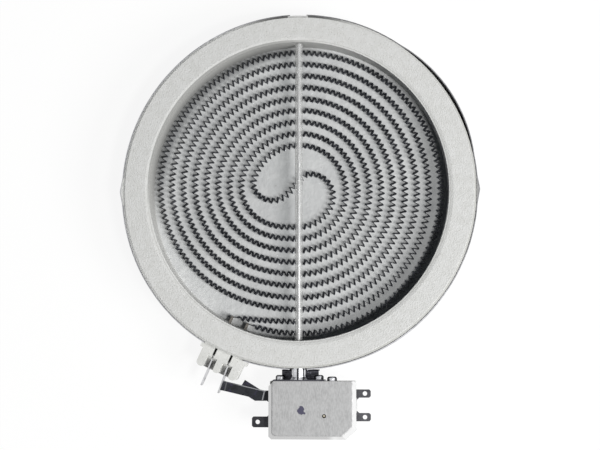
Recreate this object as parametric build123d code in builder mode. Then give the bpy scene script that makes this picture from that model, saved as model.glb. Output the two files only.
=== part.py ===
from build123d import *
import os
from math import atan2, ceil, cos, degrees, hypot, radians, sin, sqrt

# A radiant heating element for a glass hob, in millimetres. A thin steel pan holds an insulating base
# and ring, a resistance strip wound in two arms lies on the base, and a rod-type temperature limiter
# crosses the heated circle in a quartz tube, with its switch head outside the pan.
# The origin is the centre of the pan's flat bottom, +Z points up to the glass, and the head is at -Y.

# Pan
pan_diameter = 210.0
pan_height = 31.0
pan_sheet = 0.6
pan_corner = 4.0
bead_diameter = 120.0
bead_width = 8.0
bead_height = 1.2
bead_slope = 45.0
rib_width = 35.0
rib_height = 1.2
rib_foot = 12.0
bow_height = 1.5
bow_span = 22.0
bow_angle = 33.0
notch_clearance = 0.9

# Insulation
insulation_clearance = 0.3
base_thickness = 18.4
ring_height = 14.0
ring_width = 17.5
opening_draft = 0.7
opening_bevel_width = 2.6
opening_bevel_depth = 0.5
rim_bevel_width = 1.4
rim_bevel_depth = 0.8

# Resistance strip
turns_per_side = 9
first_turn_radius = 14.0
strip_margin = 3.5
strip_thickness = 0.4
strip_height = 5.0
strip_buried = 2.2
growth_start = 90.0
growth_end = 195.0
level_parts = 3
s_start = 30.0
end_margin = 15.0
weld_gap = 0.05
weld_lap = 0.7
gap_sampling = 3.0

# Terminal block and its blades
block_angle = 24.8
block_width = 25.6
block_flange_width = 29.2
block_flange_depth = 1.9
block_lip_depth = 2.6
block_reach = 12.5
block_height = 14.0
block_foot = 14.0
block_sill = 2.0
block_clearance = 0.1
block_room = 0.3
blade_thickness = 0.8
blade_width = 6.3
blade_lift = 0.2
blade_reach = 10.3
left_blade_bend = 1.0
right_blade_bend = 4.5
blade_hole = 2.0
blade_hole_inset = 4.0
blade_slot_clearance = 0.15
blade_ring_clearance = 0.3
pocket_width = 6.2
pocket_wall = 3.8
pocket_floor = 3.0
pocket_depth = 7.5
lobe_round = 1.6
lobe_outer_round = 2.4

# Limiter tube and rod
tube_diameter = 4.6
tube_bore = 3.2
tube_drop = 6.5
tube_end_inset = 8.0
tube_hole_clearance = 0.7
rod_diameter = 1.6
rod_running_clearance = 0.04
rod_reach = 0.4
rod_far_inset = 0.5
cap_diameter = 6.0
cap_length = 3.0
ferrule_diameter = 8.2
ferrule_length = 8.6
ferrule_flare_diameter = 10.2
ferrule_flare_length = 1.6
ferrule_spigot_diameter = 6.6
ferrule_spigot_length = 1.6
ferrule_seat = 0.5
fit_clearance = 0.05
stroke = 1.3

# Limiter head
head_gap = 6.5
head_left = 17.5
head_right = 33.5
head_length = 33.6
head_drop = 2.0
rear_corner_x = 6.0
rear_corner_y = 5.2
rear_corner_cut = 1.6
front_corner = 3.0
cover_sheet = 0.7
cover_skirt = 5.0
cover_bevel_width = 2.4
cover_bevel_depth = 1.2
cover_clearance = 0.15
clip_width = 5.0
clip_hook = 2.0
body_foot = 13.0
body_wall = 2.4
body_front_wall = 4.0
body_floor = 2.5
ledge_width = 4.6
trim_hole = 2.4
trim_head_diameter = 4.0
trim_shank = 2.0
trim_head_height = 0.9
trim_slot = 0.6
trim_x = 15.0
trim_from_front = 20.1
trim_pillar_diameter = 6.0
trim_gap = 0.3

# Bracket and its fasteners
bracket_sheet = 0.8
bracket_width = 21.8
bracket_flange_width = 30.0
bracket_web_height = 15.0
bracket_foot = 5.0
rivet_spacing = 13.0
rivet_height = 9.0
rivet_shank = 3.2
rivet_head = 5.6
rivet_head_height = 1.1
rivet_tail_length = 1.6
screw_spacing = 22.6
screw_height = 20.0
screw_shank = 3.0
screw_head = 5.8
screw_head_height = 2.6
screw_reach = 4.4
screw_slot = 0.8
screw_slot_depth = 1.1
adjuster_x = 19.3
adjuster_height = 24.0

# Switch parts inside the head
terminal_height = 21.0
terminal_sheet = 0.8
power_tab_width = 6.3
power_tab_reach = 10.5
power_tab_from_front = 24.0
signal_tab_width = 4.8
signal_tab_reach = 8.3
upper_signal_from_front = 7.3
lower_signal_from_front = 21.0
tab_hole = 2.6
tab_hole_inset = 3.4
tab_tip_chamfer = 0.9
tab_stop_height = 1.4
tab_stop_length = 1.6
arm_height = 4.4
arm_thickness = 0.5
pivot_radius = 0.9
pivot_clearance = 0.05
pivot_eye_radius = 1.6
pivot_collar_gap = 0.1
pivot_head_height = 0.8
power_pivot_x = -12.5
power_pivot_from_front = 15.5
power_contact_x = 7.0
signal_pivot_x = 26.5
signal_pivot_from_front = 6.7
signal_contact_x = 8.0
signal_run_x = 20.6
signal_run_width = 3.6
signal_finger_width = 1.9
arm_overhang = 2.4
contact_diameter = 3.2
contact_height = 0.8
closed_gap = 0.05
lug_width = 4.0
plunger_diameter = 4.4
plunger_clearance = 0.05
stem_diameter = 2.2
stem_tip_round = 1.0
stem_fork_clearance = 0.3
shoulder_gap = 0.15
fork_overhang = 2.5

# Link from the limiter to the terminal block
link_width = 5.7
link_sheet = 0.8
arm_tab_width = 7.2
arm_tab_angle = 32.0
arm_tab_length = 11.6
arm_neck_width = 6.0
arm_neck_reach = 6.8
arm_from_front = 8.7
link_blade_inset = 2.0
link_head_gap = 2.6

# Levels and radii that several pieces share
pan_outer = pan_diameter / 2
pan_inner = pan_outer - pan_sheet
insulation_radius = pan_inner - insulation_clearance
base_top = pan_sheet + base_thickness
ring_top = base_top + ring_height
opening_foot = pan_outer - ring_width
outer_turn_radius = opening_foot - strip_margin
turn_spacing = (outer_turn_radius - first_turn_radius) / (turns_per_side + 1)
blade_spacing = pocket_width + pocket_wall
opening_top = opening_foot + opening_draft
tube_height = ring_top - tube_drop
tube_far_end = pan_outer - tube_end_inset
notch_width = ferrule_diameter + 2 * notch_clearance
head_front = -(pan_outer + head_gap)
head_rear = head_front - head_length
cover_top = ring_top - head_drop
cover_under = cover_top - cover_sheet
body_inset = cover_sheet + cover_clearance
body_left = -head_left + body_inset
body_right = head_right - body_inset
body_rear = head_rear + body_inset
body_top = cover_under - cover_bevel_depth - cover_clearance
cavity_left = body_left + body_wall
cavity_right = body_right - body_wall
cavity_front = head_front - body_front_wall
cavity_rear = body_rear + body_wall
cavity_floor = body_foot + body_floor
terminal_top = terminal_height + terminal_sheet
arm_foot = tube_height - arm_height / 2
arm_top = tube_height + arm_height / 2
power_pivot_y = head_front - power_pivot_from_front
signal_pivot_y = head_front - signal_pivot_from_front
power_face = power_pivot_y + arm_thickness / 2
signal_face = signal_pivot_y + arm_thickness / 2
blade_foot = base_top + blade_lift
blade_top = blade_foot + blade_width
block_end = pan_outer + block_reach
bend_radius = block_end - pocket_depth
os.makedirs("parts", exist_ok=True)


def across(y):
    """Upright plane at Y = y. Its local x is X, its local y is Z, and it extrudes towards -Y."""
    return Plane.XZ.offset(-y)


def block_plane(z):
    """Level plane turned to the terminal block: local x points out of the pan, local y along its wall."""
    turn = radians(-90 - block_angle)
    return Plane(origin=(0, 0, z), x_dir=(cos(turn), sin(turn), 0), z_dir=(0, 0, 1))


def blade_plane(side, z):
    """Level plane at a blade's bend, with local x along the blade's bent outer length."""
    turn = -90 - block_angle + (right_blade_bend if side > 0 else left_blade_bend)
    bend = block_plane(z).from_local_coords((bend_radius, side * blade_spacing / 2, 0))
    return Plane(origin=bend, x_dir=(cos(radians(turn)), sin(radians(turn)), 0), z_dir=(0, 0, 1))


# Steel pan: a pressed dish with a stiffening bead, two folds where its wall stands off in a V, a bow between
# one fold and the tube, a notch at each end of the tube and a cut-out for the terminal block
bow_peak = pan_outer + bow_height
bow_offset = (bow_peak**2 - pan_outer**2) / (2 * (bow_peak - pan_outer * cos(radians(bow_span))))
bow_centre = (bow_offset * cos(radians(bow_angle)), bow_offset * sin(radians(bow_angle)))
with BuildPart() as pan:
    with BuildSketch(Plane.XZ):
        with BuildLine():
            Line((0, 0), (pan_outer - pan_corner, 0))
            RadiusArc((pan_outer - pan_corner, 0), (pan_outer, pan_corner), -pan_corner)
            Polyline((pan_outer, pan_corner), (pan_outer, pan_height), (pan_inner, pan_height))
            Line((pan_inner, pan_height), (pan_inner, pan_corner))
            RadiusArc((pan_inner, pan_corner), (pan_outer - pan_corner, pan_sheet), pan_corner - pan_sheet)
            Polyline((pan_outer - pan_corner, pan_sheet), (0, pan_sheet), (0, 0))
        make_face()
    revolve(axis=Axis.Z)
    with BuildSketch(Plane.XZ):
        with Locations((bead_diameter / 2, pan_sheet)):
            Trapezoid(bead_width, bead_height, bead_slope, align=(Align.CENTER, Align.MIN))
    revolve(axis=Axis.Z)
    with BuildSketch(Plane.XZ):
        with Locations((bead_diameter / 2, 0)):
            Trapezoid(bead_width - pan_sheet, bead_height, bead_slope, align=(Align.CENTER, Align.MIN))
    revolve(axis=Axis.Z, mode=Mode.SUBTRACT)
    rib_root = sqrt(pan_inner**2 - (rib_width / 2) ** 2)
    for lift, sink, mode in ((0, 0, Mode.ADD), (pan_sheet, pan_sheet, Mode.SUBTRACT)):
        with BuildSketch(Plane.XY.offset(rib_foot + lift)):
            for side in (1, -1):
                root, peak = side * (rib_root - sink), side * (pan_outer + rib_height - sink)
                with BuildLine():
                    Polyline((root, -rib_width / 2), (peak, 0), (root, rib_width / 2), close=True)
                make_face()
            with Locations(bow_centre):
                Circle(bow_peak - bow_offset - sink)
            if mode is Mode.ADD:
                Circle(pan_inner, mode=Mode.SUBTRACT)
        extrude(amount=pan_height - rib_foot - lift, mode=mode)
    with BuildSketch(Plane.XZ):
        with Locations((0, tube_height)):
            Circle(notch_width / 2)
            Rectangle(notch_width, pan_height, align=(Align.CENTER, Align.MIN))
    extrude(amount=pan_diameter, both=True, mode=Mode.SUBTRACT)
    with BuildSketch(across(-pan_inner / 2)):
        with GridLocations(rivet_spacing, 0, 2, 1):
            with Locations((0, rivet_height)):
                Circle(rivet_shank / 2 + fit_clearance)
    extrude(amount=pan_outer, mode=Mode.SUBTRACT)
    with BuildSketch(block_plane(block_foot + block_sill - block_clearance)):
        with Locations((pan_outer, 0)):
            Rectangle(block_reach, block_width + 2 * block_clearance)
    extrude(amount=pan_height, mode=Mode.SUBTRACT)

# Insulating base: a pressed microporous disc with room for the bead, the block and the rivet tails
with BuildPart() as insulation_base:
    with BuildSketch(Plane.XY.offset(pan_sheet)):
        Circle(insulation_radius)
    extrude(amount=base_thickness)
    fillet(insulation_base.edges().group_by(Axis.Z)[0], pan_corner)
    with BuildSketch(Plane.XZ):
        with Locations((bead_diameter / 2, pan_sheet)):
            groove_width = bead_width + 2 * insulation_clearance
            groove_depth = bead_height + insulation_clearance
            Trapezoid(groove_width, groove_depth, bead_slope, align=(Align.CENTER, Align.MIN))
    revolve(axis=Axis.Z, mode=Mode.SUBTRACT)
    with BuildSketch(block_plane(block_foot - block_room)):
        with Locations((pan_inner - block_lip_depth - block_room, 0)):
            Rectangle(pan_outer, block_flange_width + 2 * block_room, align=(Align.MIN, Align.CENTER))
    extrude(amount=base_top, mode=Mode.SUBTRACT)
    rivet_pocket = insulation_radius - 2 * rivet_tail_length
    with BuildSketch(across(-rivet_pocket)):
        with GridLocations(rivet_spacing, 0, 2, 1):
            with Locations((0, rivet_height)):
                Circle(rivet_head / 2 + block_room)
    extrude(amount=pan_outer, mode=Mode.SUBTRACT)

# Insulating ring, with a bevelled opening, holes for the tube and slots for the blades
with BuildPart() as insulation_ring:
    with BuildSketch(Plane.XZ):
        with BuildLine():
            Polyline(
                (opening_foot, base_top),
                (opening_top, ring_top - opening_bevel_depth),
                (opening_top + opening_bevel_width, ring_top),
                (insulation_radius - rim_bevel_width, ring_top),
                (insulation_radius, ring_top - rim_bevel_depth),
                (insulation_radius, base_top),
                close=True,
            )
        make_face()
    revolve(axis=Axis.Z)
    with BuildSketch(Plane.XZ):
        with Locations((0, tube_height)):
            Circle(tube_diameter / 2 + tube_hole_clearance)
    extrude(amount=pan_diameter, both=True, mode=Mode.SUBTRACT)
    with BuildSketch(across(head_front + ferrule_length + tube_hole_clearance)):
        with Locations((0, tube_height)):
            Circle(ferrule_diameter / 2 + tube_hole_clearance)
    extrude(amount=pan_outer, mode=Mode.SUBTRACT)
    with BuildSketch(block_plane(base_top)):
        with Locations((pan_inner - block_lip_depth - block_room, 0)):
            Rectangle(pan_outer, block_flange_width + 2 * block_room, align=(Align.MIN, Align.CENTER))
    extrude(amount=block_foot + block_height + block_room - base_top, mode=Mode.SUBTRACT)
    with BuildSketch(block_plane(base_top)):
        with GridLocations(0, blade_spacing, 1, 2):
            Rectangle(pan_outer, blade_thickness + 2 * blade_ring_clearance, align=(Align.MIN, Align.CENTER))
    extrude(amount=blade_top + blade_ring_clearance - base_top, mode=Mode.SUBTRACT)

# Resistance strip: two arms of level turns that step out together in the quarter before the terminals,
# joined at the centre by an S. Angles run clockwise from +X, seen from above.
growth_span = growth_end - growth_start
level_span = 360.0 - growth_span
blade_inner = outer_turn_radius - weld_lap
long_last_turn = 360.0 * ((turns_per_side + 1) // 2)
short_last_turn = 360.0 * (turns_per_side // 2)


def arm_radius(angle, first):
    """Radius of an arm at an angle: level turns, and a smooth step of two spacings each time round."""
    turn, part = divmod(angle - growth_start, 360.0)
    step = min(part / growth_span, 1.0)
    return first + 2 * turn_spacing * (turn + step * step * (3 - 2 * step))


def long_arm(angle):
    """The outer arm, which keeps the last turn's radius up to its blade."""
    return min(arm_radius(angle, first_turn_radius), outer_turn_radius)


def short_arm(angle):
    """The inner arm, which swings out to the last turn's radius at its blade."""
    swing_start = short_last_turn + growth_start
    if angle <= swing_start:
        return arm_radius(angle, first_turn_radius + turn_spacing)
    swing = (angle - swing_start) / (short_end - swing_start)
    return outer_turn_radius - turn_spacing * (1 - swing * swing)


def blade_side_angle(side):
    """Clockwise angle, within a turn, at which the last turn's radius meets the near face of a blade."""
    offset = side * blade_spacing / 2 + blade_thickness / 2 + weld_gap
    return 90 + block_angle - degrees(atan2(offset, outer_turn_radius))


def strip_point(arm, angle):
    """Point of an arm and its direction as the angle grows."""
    step = 0.01
    near, far = [
        Vector(arm(a) * cos(radians(a)), -arm(a) * sin(radians(a))) for a in (angle - step, angle + step)
    ]
    return (near + far) / 2, (far - near).normalized()


def arm_stations(arm, first, last):
    """Angles along an arm at which its curve is divided, from the centre outwards."""
    level_marks = [growth_end + level_span * part / level_parts for part in range(level_parts)]
    marks = [growth_start, growth_start + growth_span / 2, *level_marks]
    every = [turn * 360 + mark for turn in range(turns_per_side) for mark in marks]
    inside = [angle for angle in every if first + end_margin < angle < last - end_margin]
    return [strip_point(arm, angle) for angle in [first, *inside, last]]


long_end = long_last_turn + blade_side_angle(1)
short_end = short_last_turn + blade_side_angle(-1)
s_radius = first_turn_radius + turn_spacing
s_bends = [
    (Vector(0.968, -0.123), Vector(0, 1)),
    (Vector(0.327, 0.509), Vector(-1, 0)),
    (Vector(-0.136, 0.155), Vector(-0.62, -0.78)),
    (Vector(-0.75, -0.241), Vector(-1, 0)),
]
centre = [(share * s_radius, direction.normalized()) for share, direction in s_bends]
inner_arm = arm_stations(short_arm, s_start, short_end)
outer_arm = arm_stations(long_arm, growth_end, long_end)
stations = [(point, -direction) for point, direction in reversed(inner_arm)] + centre + outer_arm


def biarc(start, end):
    """Two arcs that leave the first station and reach the second along their directions: ends and middles."""
    (p, t), (q, u) = start, end
    chord, bend = q - p, 2 * (1 - t.dot(u))
    lean = chord.dot(t + u)
    reach = chord.dot(chord) / (sqrt(lean**2 + bend * chord.dot(chord)) + lean)
    a, b = p + t * reach, q - u * reach
    middle = (a + b) / 2
    return (p, middle, t), (middle, q, (b - a).normalized())


def strip_side(offset):
    """Arcs of one face of the strip, at a distance to the left of the centre line."""
    edge = [(p + Vector(-t.Y, t.X) * offset, t) for p, t in stations]
    return [arc for start, end in zip(edge, edge[1:]) for arc in biarc(start, end)]


with BuildPart() as heating_strip:
    with BuildSketch(Plane.XY.offset(base_top - strip_buried)):
        with BuildLine():
            left = strip_side(strip_thickness / 2)
            right = strip_side(-strip_thickness / 2)
            for start, end, direction in left + right:
                TangentArc(start, end, tangent=direction)
            Line(left[0][0], right[0][0])
            Line(left[-1][1], right[-1][1])
        make_face()
    extrude(amount=strip_height)

strip_edges = [TangentArc(start, end, tangent=t, mode=Mode.PRIVATE) for start, end, t in strip_side(0)]
strip_points = []
for edge in strip_edges:
    count = ceil(edge.length / gap_sampling)
    strip_points += [edge.position_at(i / count) for i in range(count)]
skip = ceil(2 * turn_spacing / gap_sampling)
nearest = min((p - q).length for i, p in enumerate(strip_points) for q in strip_points[i + skip:])
least_gap = nearest - strip_thickness
strip_length = sum(edge.length for edge in strip_edges)
print(f"strip length {strip_length:.0f} mm, least gap to itself {least_gap:.2f} mm")

# Ceramic terminal block: a groove round its neck takes the edge of the pan's cut-out
with BuildPart() as block_groove:
    with BuildSketch(block_plane(block_foot)):
        Circle(pan_outer + block_clearance)
        Circle(pan_inner - block_clearance, mode=Mode.SUBTRACT)
    extrude(amount=block_height)
    with BuildSketch(block_plane(block_foot + block_sill)):
        Rectangle(pan_diameter, block_width, align=(Align.MIN, Align.CENTER))
    extrude(amount=block_height, mode=Mode.SUBTRACT)


def lobe_tips(block, at_corner):
    """Upright edges at the lobes' tips: those at the block's two corners, or those beside the pockets."""
    tips = []
    for edge in block.edges().filter_by(Axis.Z):
        place = block_plane(0).to_local_coords(edge.center())
        tall = edge.length > block_height / 2
        outermost = abs(place.Y) > block_width / 2 - block_clearance
        if tall and place.X > block_end - block_clearance and outermost == at_corner:
            tips.append(edge)
    return tips


with BuildPart() as terminal_block:
    flange_start = pan_inner - block_lip_depth
    flange_end = pan_outer + block_flange_depth
    with BuildSketch(block_plane(block_foot)):
        with Locations((flange_start, 0)):
            Rectangle(flange_end - flange_start, block_flange_width, align=(Align.MIN, Align.CENTER))
            Rectangle(block_end - flange_start, block_width, align=(Align.MIN, Align.CENTER))
    extrude(amount=block_height)
    ramp_plane = Plane(origin=(0, 0, 0), x_dir=block_plane(0).x_dir, z_dir=-block_plane(0).y_dir)
    for side in (-1, 1):
        with BuildSketch(ramp_plane.offset(-side * blade_spacing / 2)):
            with BuildLine():
                Polyline(
                    (bend_radius, block_foot + block_height),
                    (block_end, block_foot + block_height),
                    (block_end, block_foot + pocket_floor),
                    close=True,
                )
            make_face()
        extrude(amount=pocket_width / 2, both=True, mode=Mode.SUBTRACT)
    fillet(lobe_tips(terminal_block, False), lobe_round)
    fillet(lobe_tips(terminal_block, True), lobe_outer_round)
    blade_slot = blade_thickness + 2 * blade_slot_clearance
    with BuildSketch(block_plane(blade_foot)):
        with GridLocations(0, blade_spacing, 1, 2):
            Rectangle(bend_radius, blade_slot, align=(Align.MIN, Align.CENTER))
    extrude(amount=block_height, mode=Mode.SUBTRACT)
    for side in (-1, 1):
        with BuildSketch(blade_plane(side, blade_foot)):
            Rectangle(block_reach, blade_slot, align=(Align.MIN, Align.CENTER))
            Circle(blade_slot / 2)
        extrude(amount=block_height, mode=Mode.SUBTRACT)
    add(block_groove.part, mode=Mode.SUBTRACT)


# Terminal blades on edge: straight inside the pan, bent a little towards the limiter outside it
blade_outer = pocket_depth + blade_reach


def tab_outline(length, width):
    """Flat tab from the sketch's origin along local x, with its tip corners cut off."""
    cut = tab_tip_chamfer
    Polygon(
        (0, -width / 2),
        (length - cut, -width / 2),
        (length, cut - width / 2),
        (length, width / 2 - cut),
        (length - cut, width / 2),
        (0, width / 2),
        align=None,
    )


def tab_stop(width, side):
    """Sloped shoulder at a tab's foot that stops the receptacle, on one side of the tab."""
    foot = side * width / 2
    Polygon(
        (0, foot),
        (tab_stop_length, foot),
        (0, foot + side * tab_stop_height),
        align=None,
    )


def terminal_blade(side):
    """One blade, on the left (-1) or the right (1) of the block."""
    bent = blade_plane(side, blade_foot + blade_width / 2)
    upright = Plane(origin=bent.origin, x_dir=bent.x_dir, z_dir=bent.x_dir.cross(Vector(0, 0, 1)))
    with BuildPart() as blade:
        with BuildSketch(block_plane(blade_foot)):
            with Locations((blade_inner, side * blade_spacing / 2)):
                Rectangle(bend_radius - blade_inner, blade_thickness, align=(Align.MIN, Align.CENTER))
            with Locations((bend_radius, side * blade_spacing / 2)):
                Circle(blade_thickness / 2)
        extrude(amount=blade_width)
        with BuildSketch(upright):
            tab_outline(blade_outer, blade_width)
            with Locations((blade_outer - blade_hole_inset, 0)):
                Circle(blade_hole / 2, mode=Mode.SUBTRACT)
        extrude(amount=blade_thickness / 2, both=True)
    return blade


blade_left = terminal_blade(-1)
blade_right = terminal_blade(1)

# Limiter rod in its quartz tube, with the cap at the far end and the ferrule at the head
tube_axis = Axis((0, 0, tube_height), (0, 1, 0))
tube_near_end = head_front + ferrule_seat
spigot_end = head_front - ferrule_spigot_length
rod_near_end = spigot_end - rod_reach
rod_far_end = tube_far_end + cap_length - rod_far_inset

with BuildPart() as quartz_tube:
    with BuildSketch(across(tube_far_end)):
        with Locations((0, tube_height)):
            Circle(tube_diameter / 2)
            Circle(tube_bore / 2, mode=Mode.SUBTRACT)
    extrude(amount=tube_far_end - tube_near_end)

with BuildPart() as expansion_rod:
    with BuildSketch(across(rod_far_end)):
        with Locations((0, tube_height)):
            Circle(rod_diameter / 2)
    extrude(amount=rod_far_end - rod_near_end)

with BuildPart() as tube_cap:
    with BuildSketch(across(tube_far_end + cap_length)):
        with Locations((0, tube_height)):
            Circle(cap_diameter / 2)
            Circle(rod_diameter / 2 + rod_running_clearance, mode=Mode.SUBTRACT)
    extrude(amount=cap_length)
    cap_rim = tube_cap.edges().group_by(Axis.Y)[-1].sort_by(SortBy.RADIUS)[-1]
    chamfer(cap_rim, (cap_diameter - tube_diameter) / 2)

with BuildPart() as tube_ferrule:
    seat = tube_diameter / 2 + fit_clearance
    flare_end = head_front + bracket_sheet
    with BuildSketch(Plane.XY.offset(tube_height)):
        with BuildLine():
            Polyline(
                (seat, head_front + ferrule_length),
                (ferrule_diameter / 2, head_front + ferrule_length),
                (ferrule_diameter / 2, flare_end + ferrule_flare_length),
                (ferrule_flare_diameter / 2, flare_end),
                (ferrule_spigot_diameter / 2, flare_end),
                (ferrule_spigot_diameter / 2, spigot_end),
                (tube_bore / 2, spigot_end),
                (tube_bore / 2, tube_near_end),
                (seat, tube_near_end),
                close=True,
            )
        make_face()
    revolve(axis=tube_axis)

# Bracket between the pan's wall and the head: one flange down the pan, a web, and one flange up the head
bracket_pan_face = -(pan_outer + fit_clearance)
with BuildPart() as limiter_bracket:
    with BuildSketch(across(bracket_pan_face)):
        with Locations((0, bracket_foot)):
            Rectangle(bracket_width, bracket_web_height - bracket_foot, align=(Align.CENTER, Align.MIN))
        with GridLocations(rivet_spacing, 0, 2, 1):
            with Locations((0, rivet_height)):
                Circle(rivet_shank / 2 + fit_clearance, mode=Mode.SUBTRACT)
    extrude(amount=bracket_sheet)
    with BuildSketch(Plane.XY.offset(bracket_web_height - bracket_sheet)):
        with Locations((0, bracket_pan_face)):
            Rectangle(bracket_width, bracket_pan_face - head_front, align=(Align.CENTER, Align.MAX))
    extrude(amount=bracket_sheet)
    with BuildSketch(across(flare_end)):
        with Locations((0, bracket_web_height - bracket_sheet)):
            Rectangle(bracket_flange_width, cover_under - bracket_web_height + bracket_sheet,
                      align=(Align.CENTER, Align.MIN))
        with GridLocations(screw_spacing, 0, 2, 1):
            with Locations((0, screw_height)):
                Circle(screw_shank / 2 + fit_clearance, mode=Mode.SUBTRACT)
        with Locations((0, tube_height)):
            Circle(ferrule_spigot_diameter / 2 + fit_clearance, mode=Mode.SUBTRACT)
    extrude(amount=bracket_sheet)
    bends = limiter_bracket.edges().filter_by(Axis.X)
    pan_bend = bends.sort_by_distance((0, bracket_pan_face, bracket_web_height))[0]
    fillet(pan_bend, bracket_sheet)

with BuildPart() as bracket_rivets:
    rivet_start = bracket_pan_face - bracket_sheet
    rivet_tail = -sqrt(pan_inner**2 - (rivet_spacing / 2 + rivet_head / 2) ** 2) + fit_clearance
    for start, length, width in (
        (rivet_tail + rivet_tail_length, rivet_tail_length, rivet_head),
        (rivet_tail, rivet_tail - rivet_start, rivet_shank),
        (rivet_start, rivet_head_height, rivet_head),
    ):
        with BuildSketch(across(start)):
            with GridLocations(rivet_spacing, 0, 2, 1):
                with Locations((0, rivet_height)):
                    Circle(width / 2)
        extrude(amount=length)
    fillet(bracket_rivets.edges().group_by(Axis.Y)[0], rivet_head_height / 2)


def slotted_screws(places, seat, reach):
    """Pan-head screws whose heads sit on the plane Y = seat and whose shanks run on towards -Y."""
    with BuildPart() as screws:
        with BuildSketch(across(seat + screw_head_height)):
            with Locations(*places):
                Circle(screw_head / 2)
        extrude(amount=screw_head_height)
        fillet(screws.edges().group_by(Axis.Y)[-1], screw_head_height / 2)
        with BuildSketch(across(seat + screw_head_height)):
            with Locations(*places):
                Rectangle(screw_head, screw_slot)
        extrude(amount=screw_slot_depth, mode=Mode.SUBTRACT)
        with BuildSketch(across(seat)):
            with Locations(*places):
                Circle(screw_shank / 2)
        extrude(amount=reach)
    return screws


screw_places = [(-screw_spacing / 2, screw_height), (screw_spacing / 2, screw_height)]
adjuster_place = [(adjuster_x, adjuster_height)]
bracket_screws = slotted_screws(screw_places, flare_end, bracket_sheet + screw_reach)
adjuster_screw = slotted_screws(adjuster_place, head_front, screw_reach)

# Ceramic body of the head: an open box with windows for the terminals and bores for the moving pin
arm_y = head_front - arm_from_front
power_tab_y = head_front - power_tab_from_front
upper_signal_y = head_front - upper_signal_from_front
lower_signal_y = head_front - lower_signal_from_front
trim_place = (trim_x, head_front - trim_from_front)
trim_seat = cover_under - trim_gap - trim_head_height


def head_outline(left, right, front, rear):
    """Outline of the head with its cut rear corners, a large one and a small one."""
    Polygon(
        (left, front),
        (right, front),
        (right, rear + rear_corner_y),
        (right - rear_corner_x, rear),
        (left + rear_corner_cut, rear),
        (left, rear + rear_corner_cut),
        align=None,
    )


with BuildPart() as limiter_body:
    with BuildSketch(Plane.XY.offset(body_foot)):
        head_outline(body_left, body_right, head_front, body_rear)
    extrude(amount=body_top - body_foot)
    with BuildSketch(Plane.XY.offset(cavity_floor)):
        head_outline(cavity_left, cavity_right, cavity_front, cavity_rear)
    extrude(amount=body_top - cavity_floor, mode=Mode.SUBTRACT)
    with BuildSketch(Plane.XY.offset(cavity_floor)):
        ledge = (ledge_width, head_length - body_front_wall - 2 * body_wall - rear_corner_y)
        with Locations((cavity_left, cavity_front - body_wall)):
            Rectangle(*ledge, align=(Align.MIN, Align.MAX))
        with Locations((cavity_right, cavity_front - body_wall)):
            Rectangle(*ledge, align=(Align.MAX, Align.MAX))
    extrude(amount=terminal_height - cavity_floor)
    with BuildSketch(Plane.XY.offset(cavity_floor)):
        with Locations(trim_place):
            Circle(trim_pillar_diameter / 2)
    extrude(amount=trim_seat - cavity_floor)
    with BuildSketch(Plane.XY.offset(trim_seat)):
        with Locations(trim_place):
            Circle(trim_shank / 2 + fit_clearance)
    extrude(amount=-body_floor - screw_reach, mode=Mode.SUBTRACT)
    lip_left = -head_left + front_corner + body_inset
    lip_right = body_right - cover_bevel_width
    with BuildSketch(Plane.XY.offset(body_top)):
        with Locations((lip_left, head_front)):
            Rectangle(lip_right - lip_left, body_front_wall, align=(Align.MIN, Align.MAX))
    extrude(amount=cover_under - body_top)
    with BuildSketch(Plane.XY.offset(terminal_height)):
        for side, y, width in (
            (-1, arm_y, arm_neck_width),
            (-1, power_tab_y, power_tab_width),
            (1, upper_signal_y, signal_tab_width),
            (1, lower_signal_y, signal_tab_width),
        ):
            with Locations((body_left if side < 0 else body_right, y)):
                Rectangle(2 * body_wall + fit_clearance, width + 2 * fit_clearance)
    extrude(amount=terminal_sheet + fit_clearance, mode=Mode.SUBTRACT)
    with BuildSketch(across(head_front)):
        with Locations((0, tube_height)):
            Circle(plunger_diameter / 2 + plunger_clearance)
        with Locations(*screw_places, *adjuster_place):
            Circle(screw_shank / 2 + fit_clearance)
    extrude(amount=body_front_wall, mode=Mode.SUBTRACT)
    with BuildSketch(across(head_front)):
        with Locations((0, tube_height)):
            Circle(ferrule_spigot_diameter / 2 + fit_clearance)
    extrude(amount=ferrule_spigot_length, mode=Mode.SUBTRACT)

# Sheet cover: a tray with sloped edges on three sides and two clips that hook under the body
clip_foot = body_foot - cover_clearance - cover_sheet
left_clip_y = (arm_y - arm_neck_width / 2 + power_tab_y + power_tab_width / 2) / 2
right_clip_y = (upper_signal_y + lower_signal_y) / 2


def cover_shape(inset, top):
    """Tray-shaped solid of the cover, drawn in by an amount and open-ended at the front."""
    front = head_front + cover_bevel_width
    slope = inset + cover_bevel_width
    with BuildPart() as shape:
        with BuildSketch(Plane.XY.offset(cover_top - cover_skirt)):
            head_outline(-head_left + inset, head_right - inset, front, head_rear + inset)
        extrude(amount=top - cover_bevel_depth - cover_top + cover_skirt)
        with BuildSketch(Plane.XY.offset(top - cover_bevel_depth)):
            head_outline(-head_left + inset, head_right - inset, front, head_rear + inset)
        with BuildSketch(Plane.XY.offset(top)):
            head_outline(-head_left + slope, head_right - slope, front, head_rear + slope)
        loft(ruled=True)
    return shape


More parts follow.
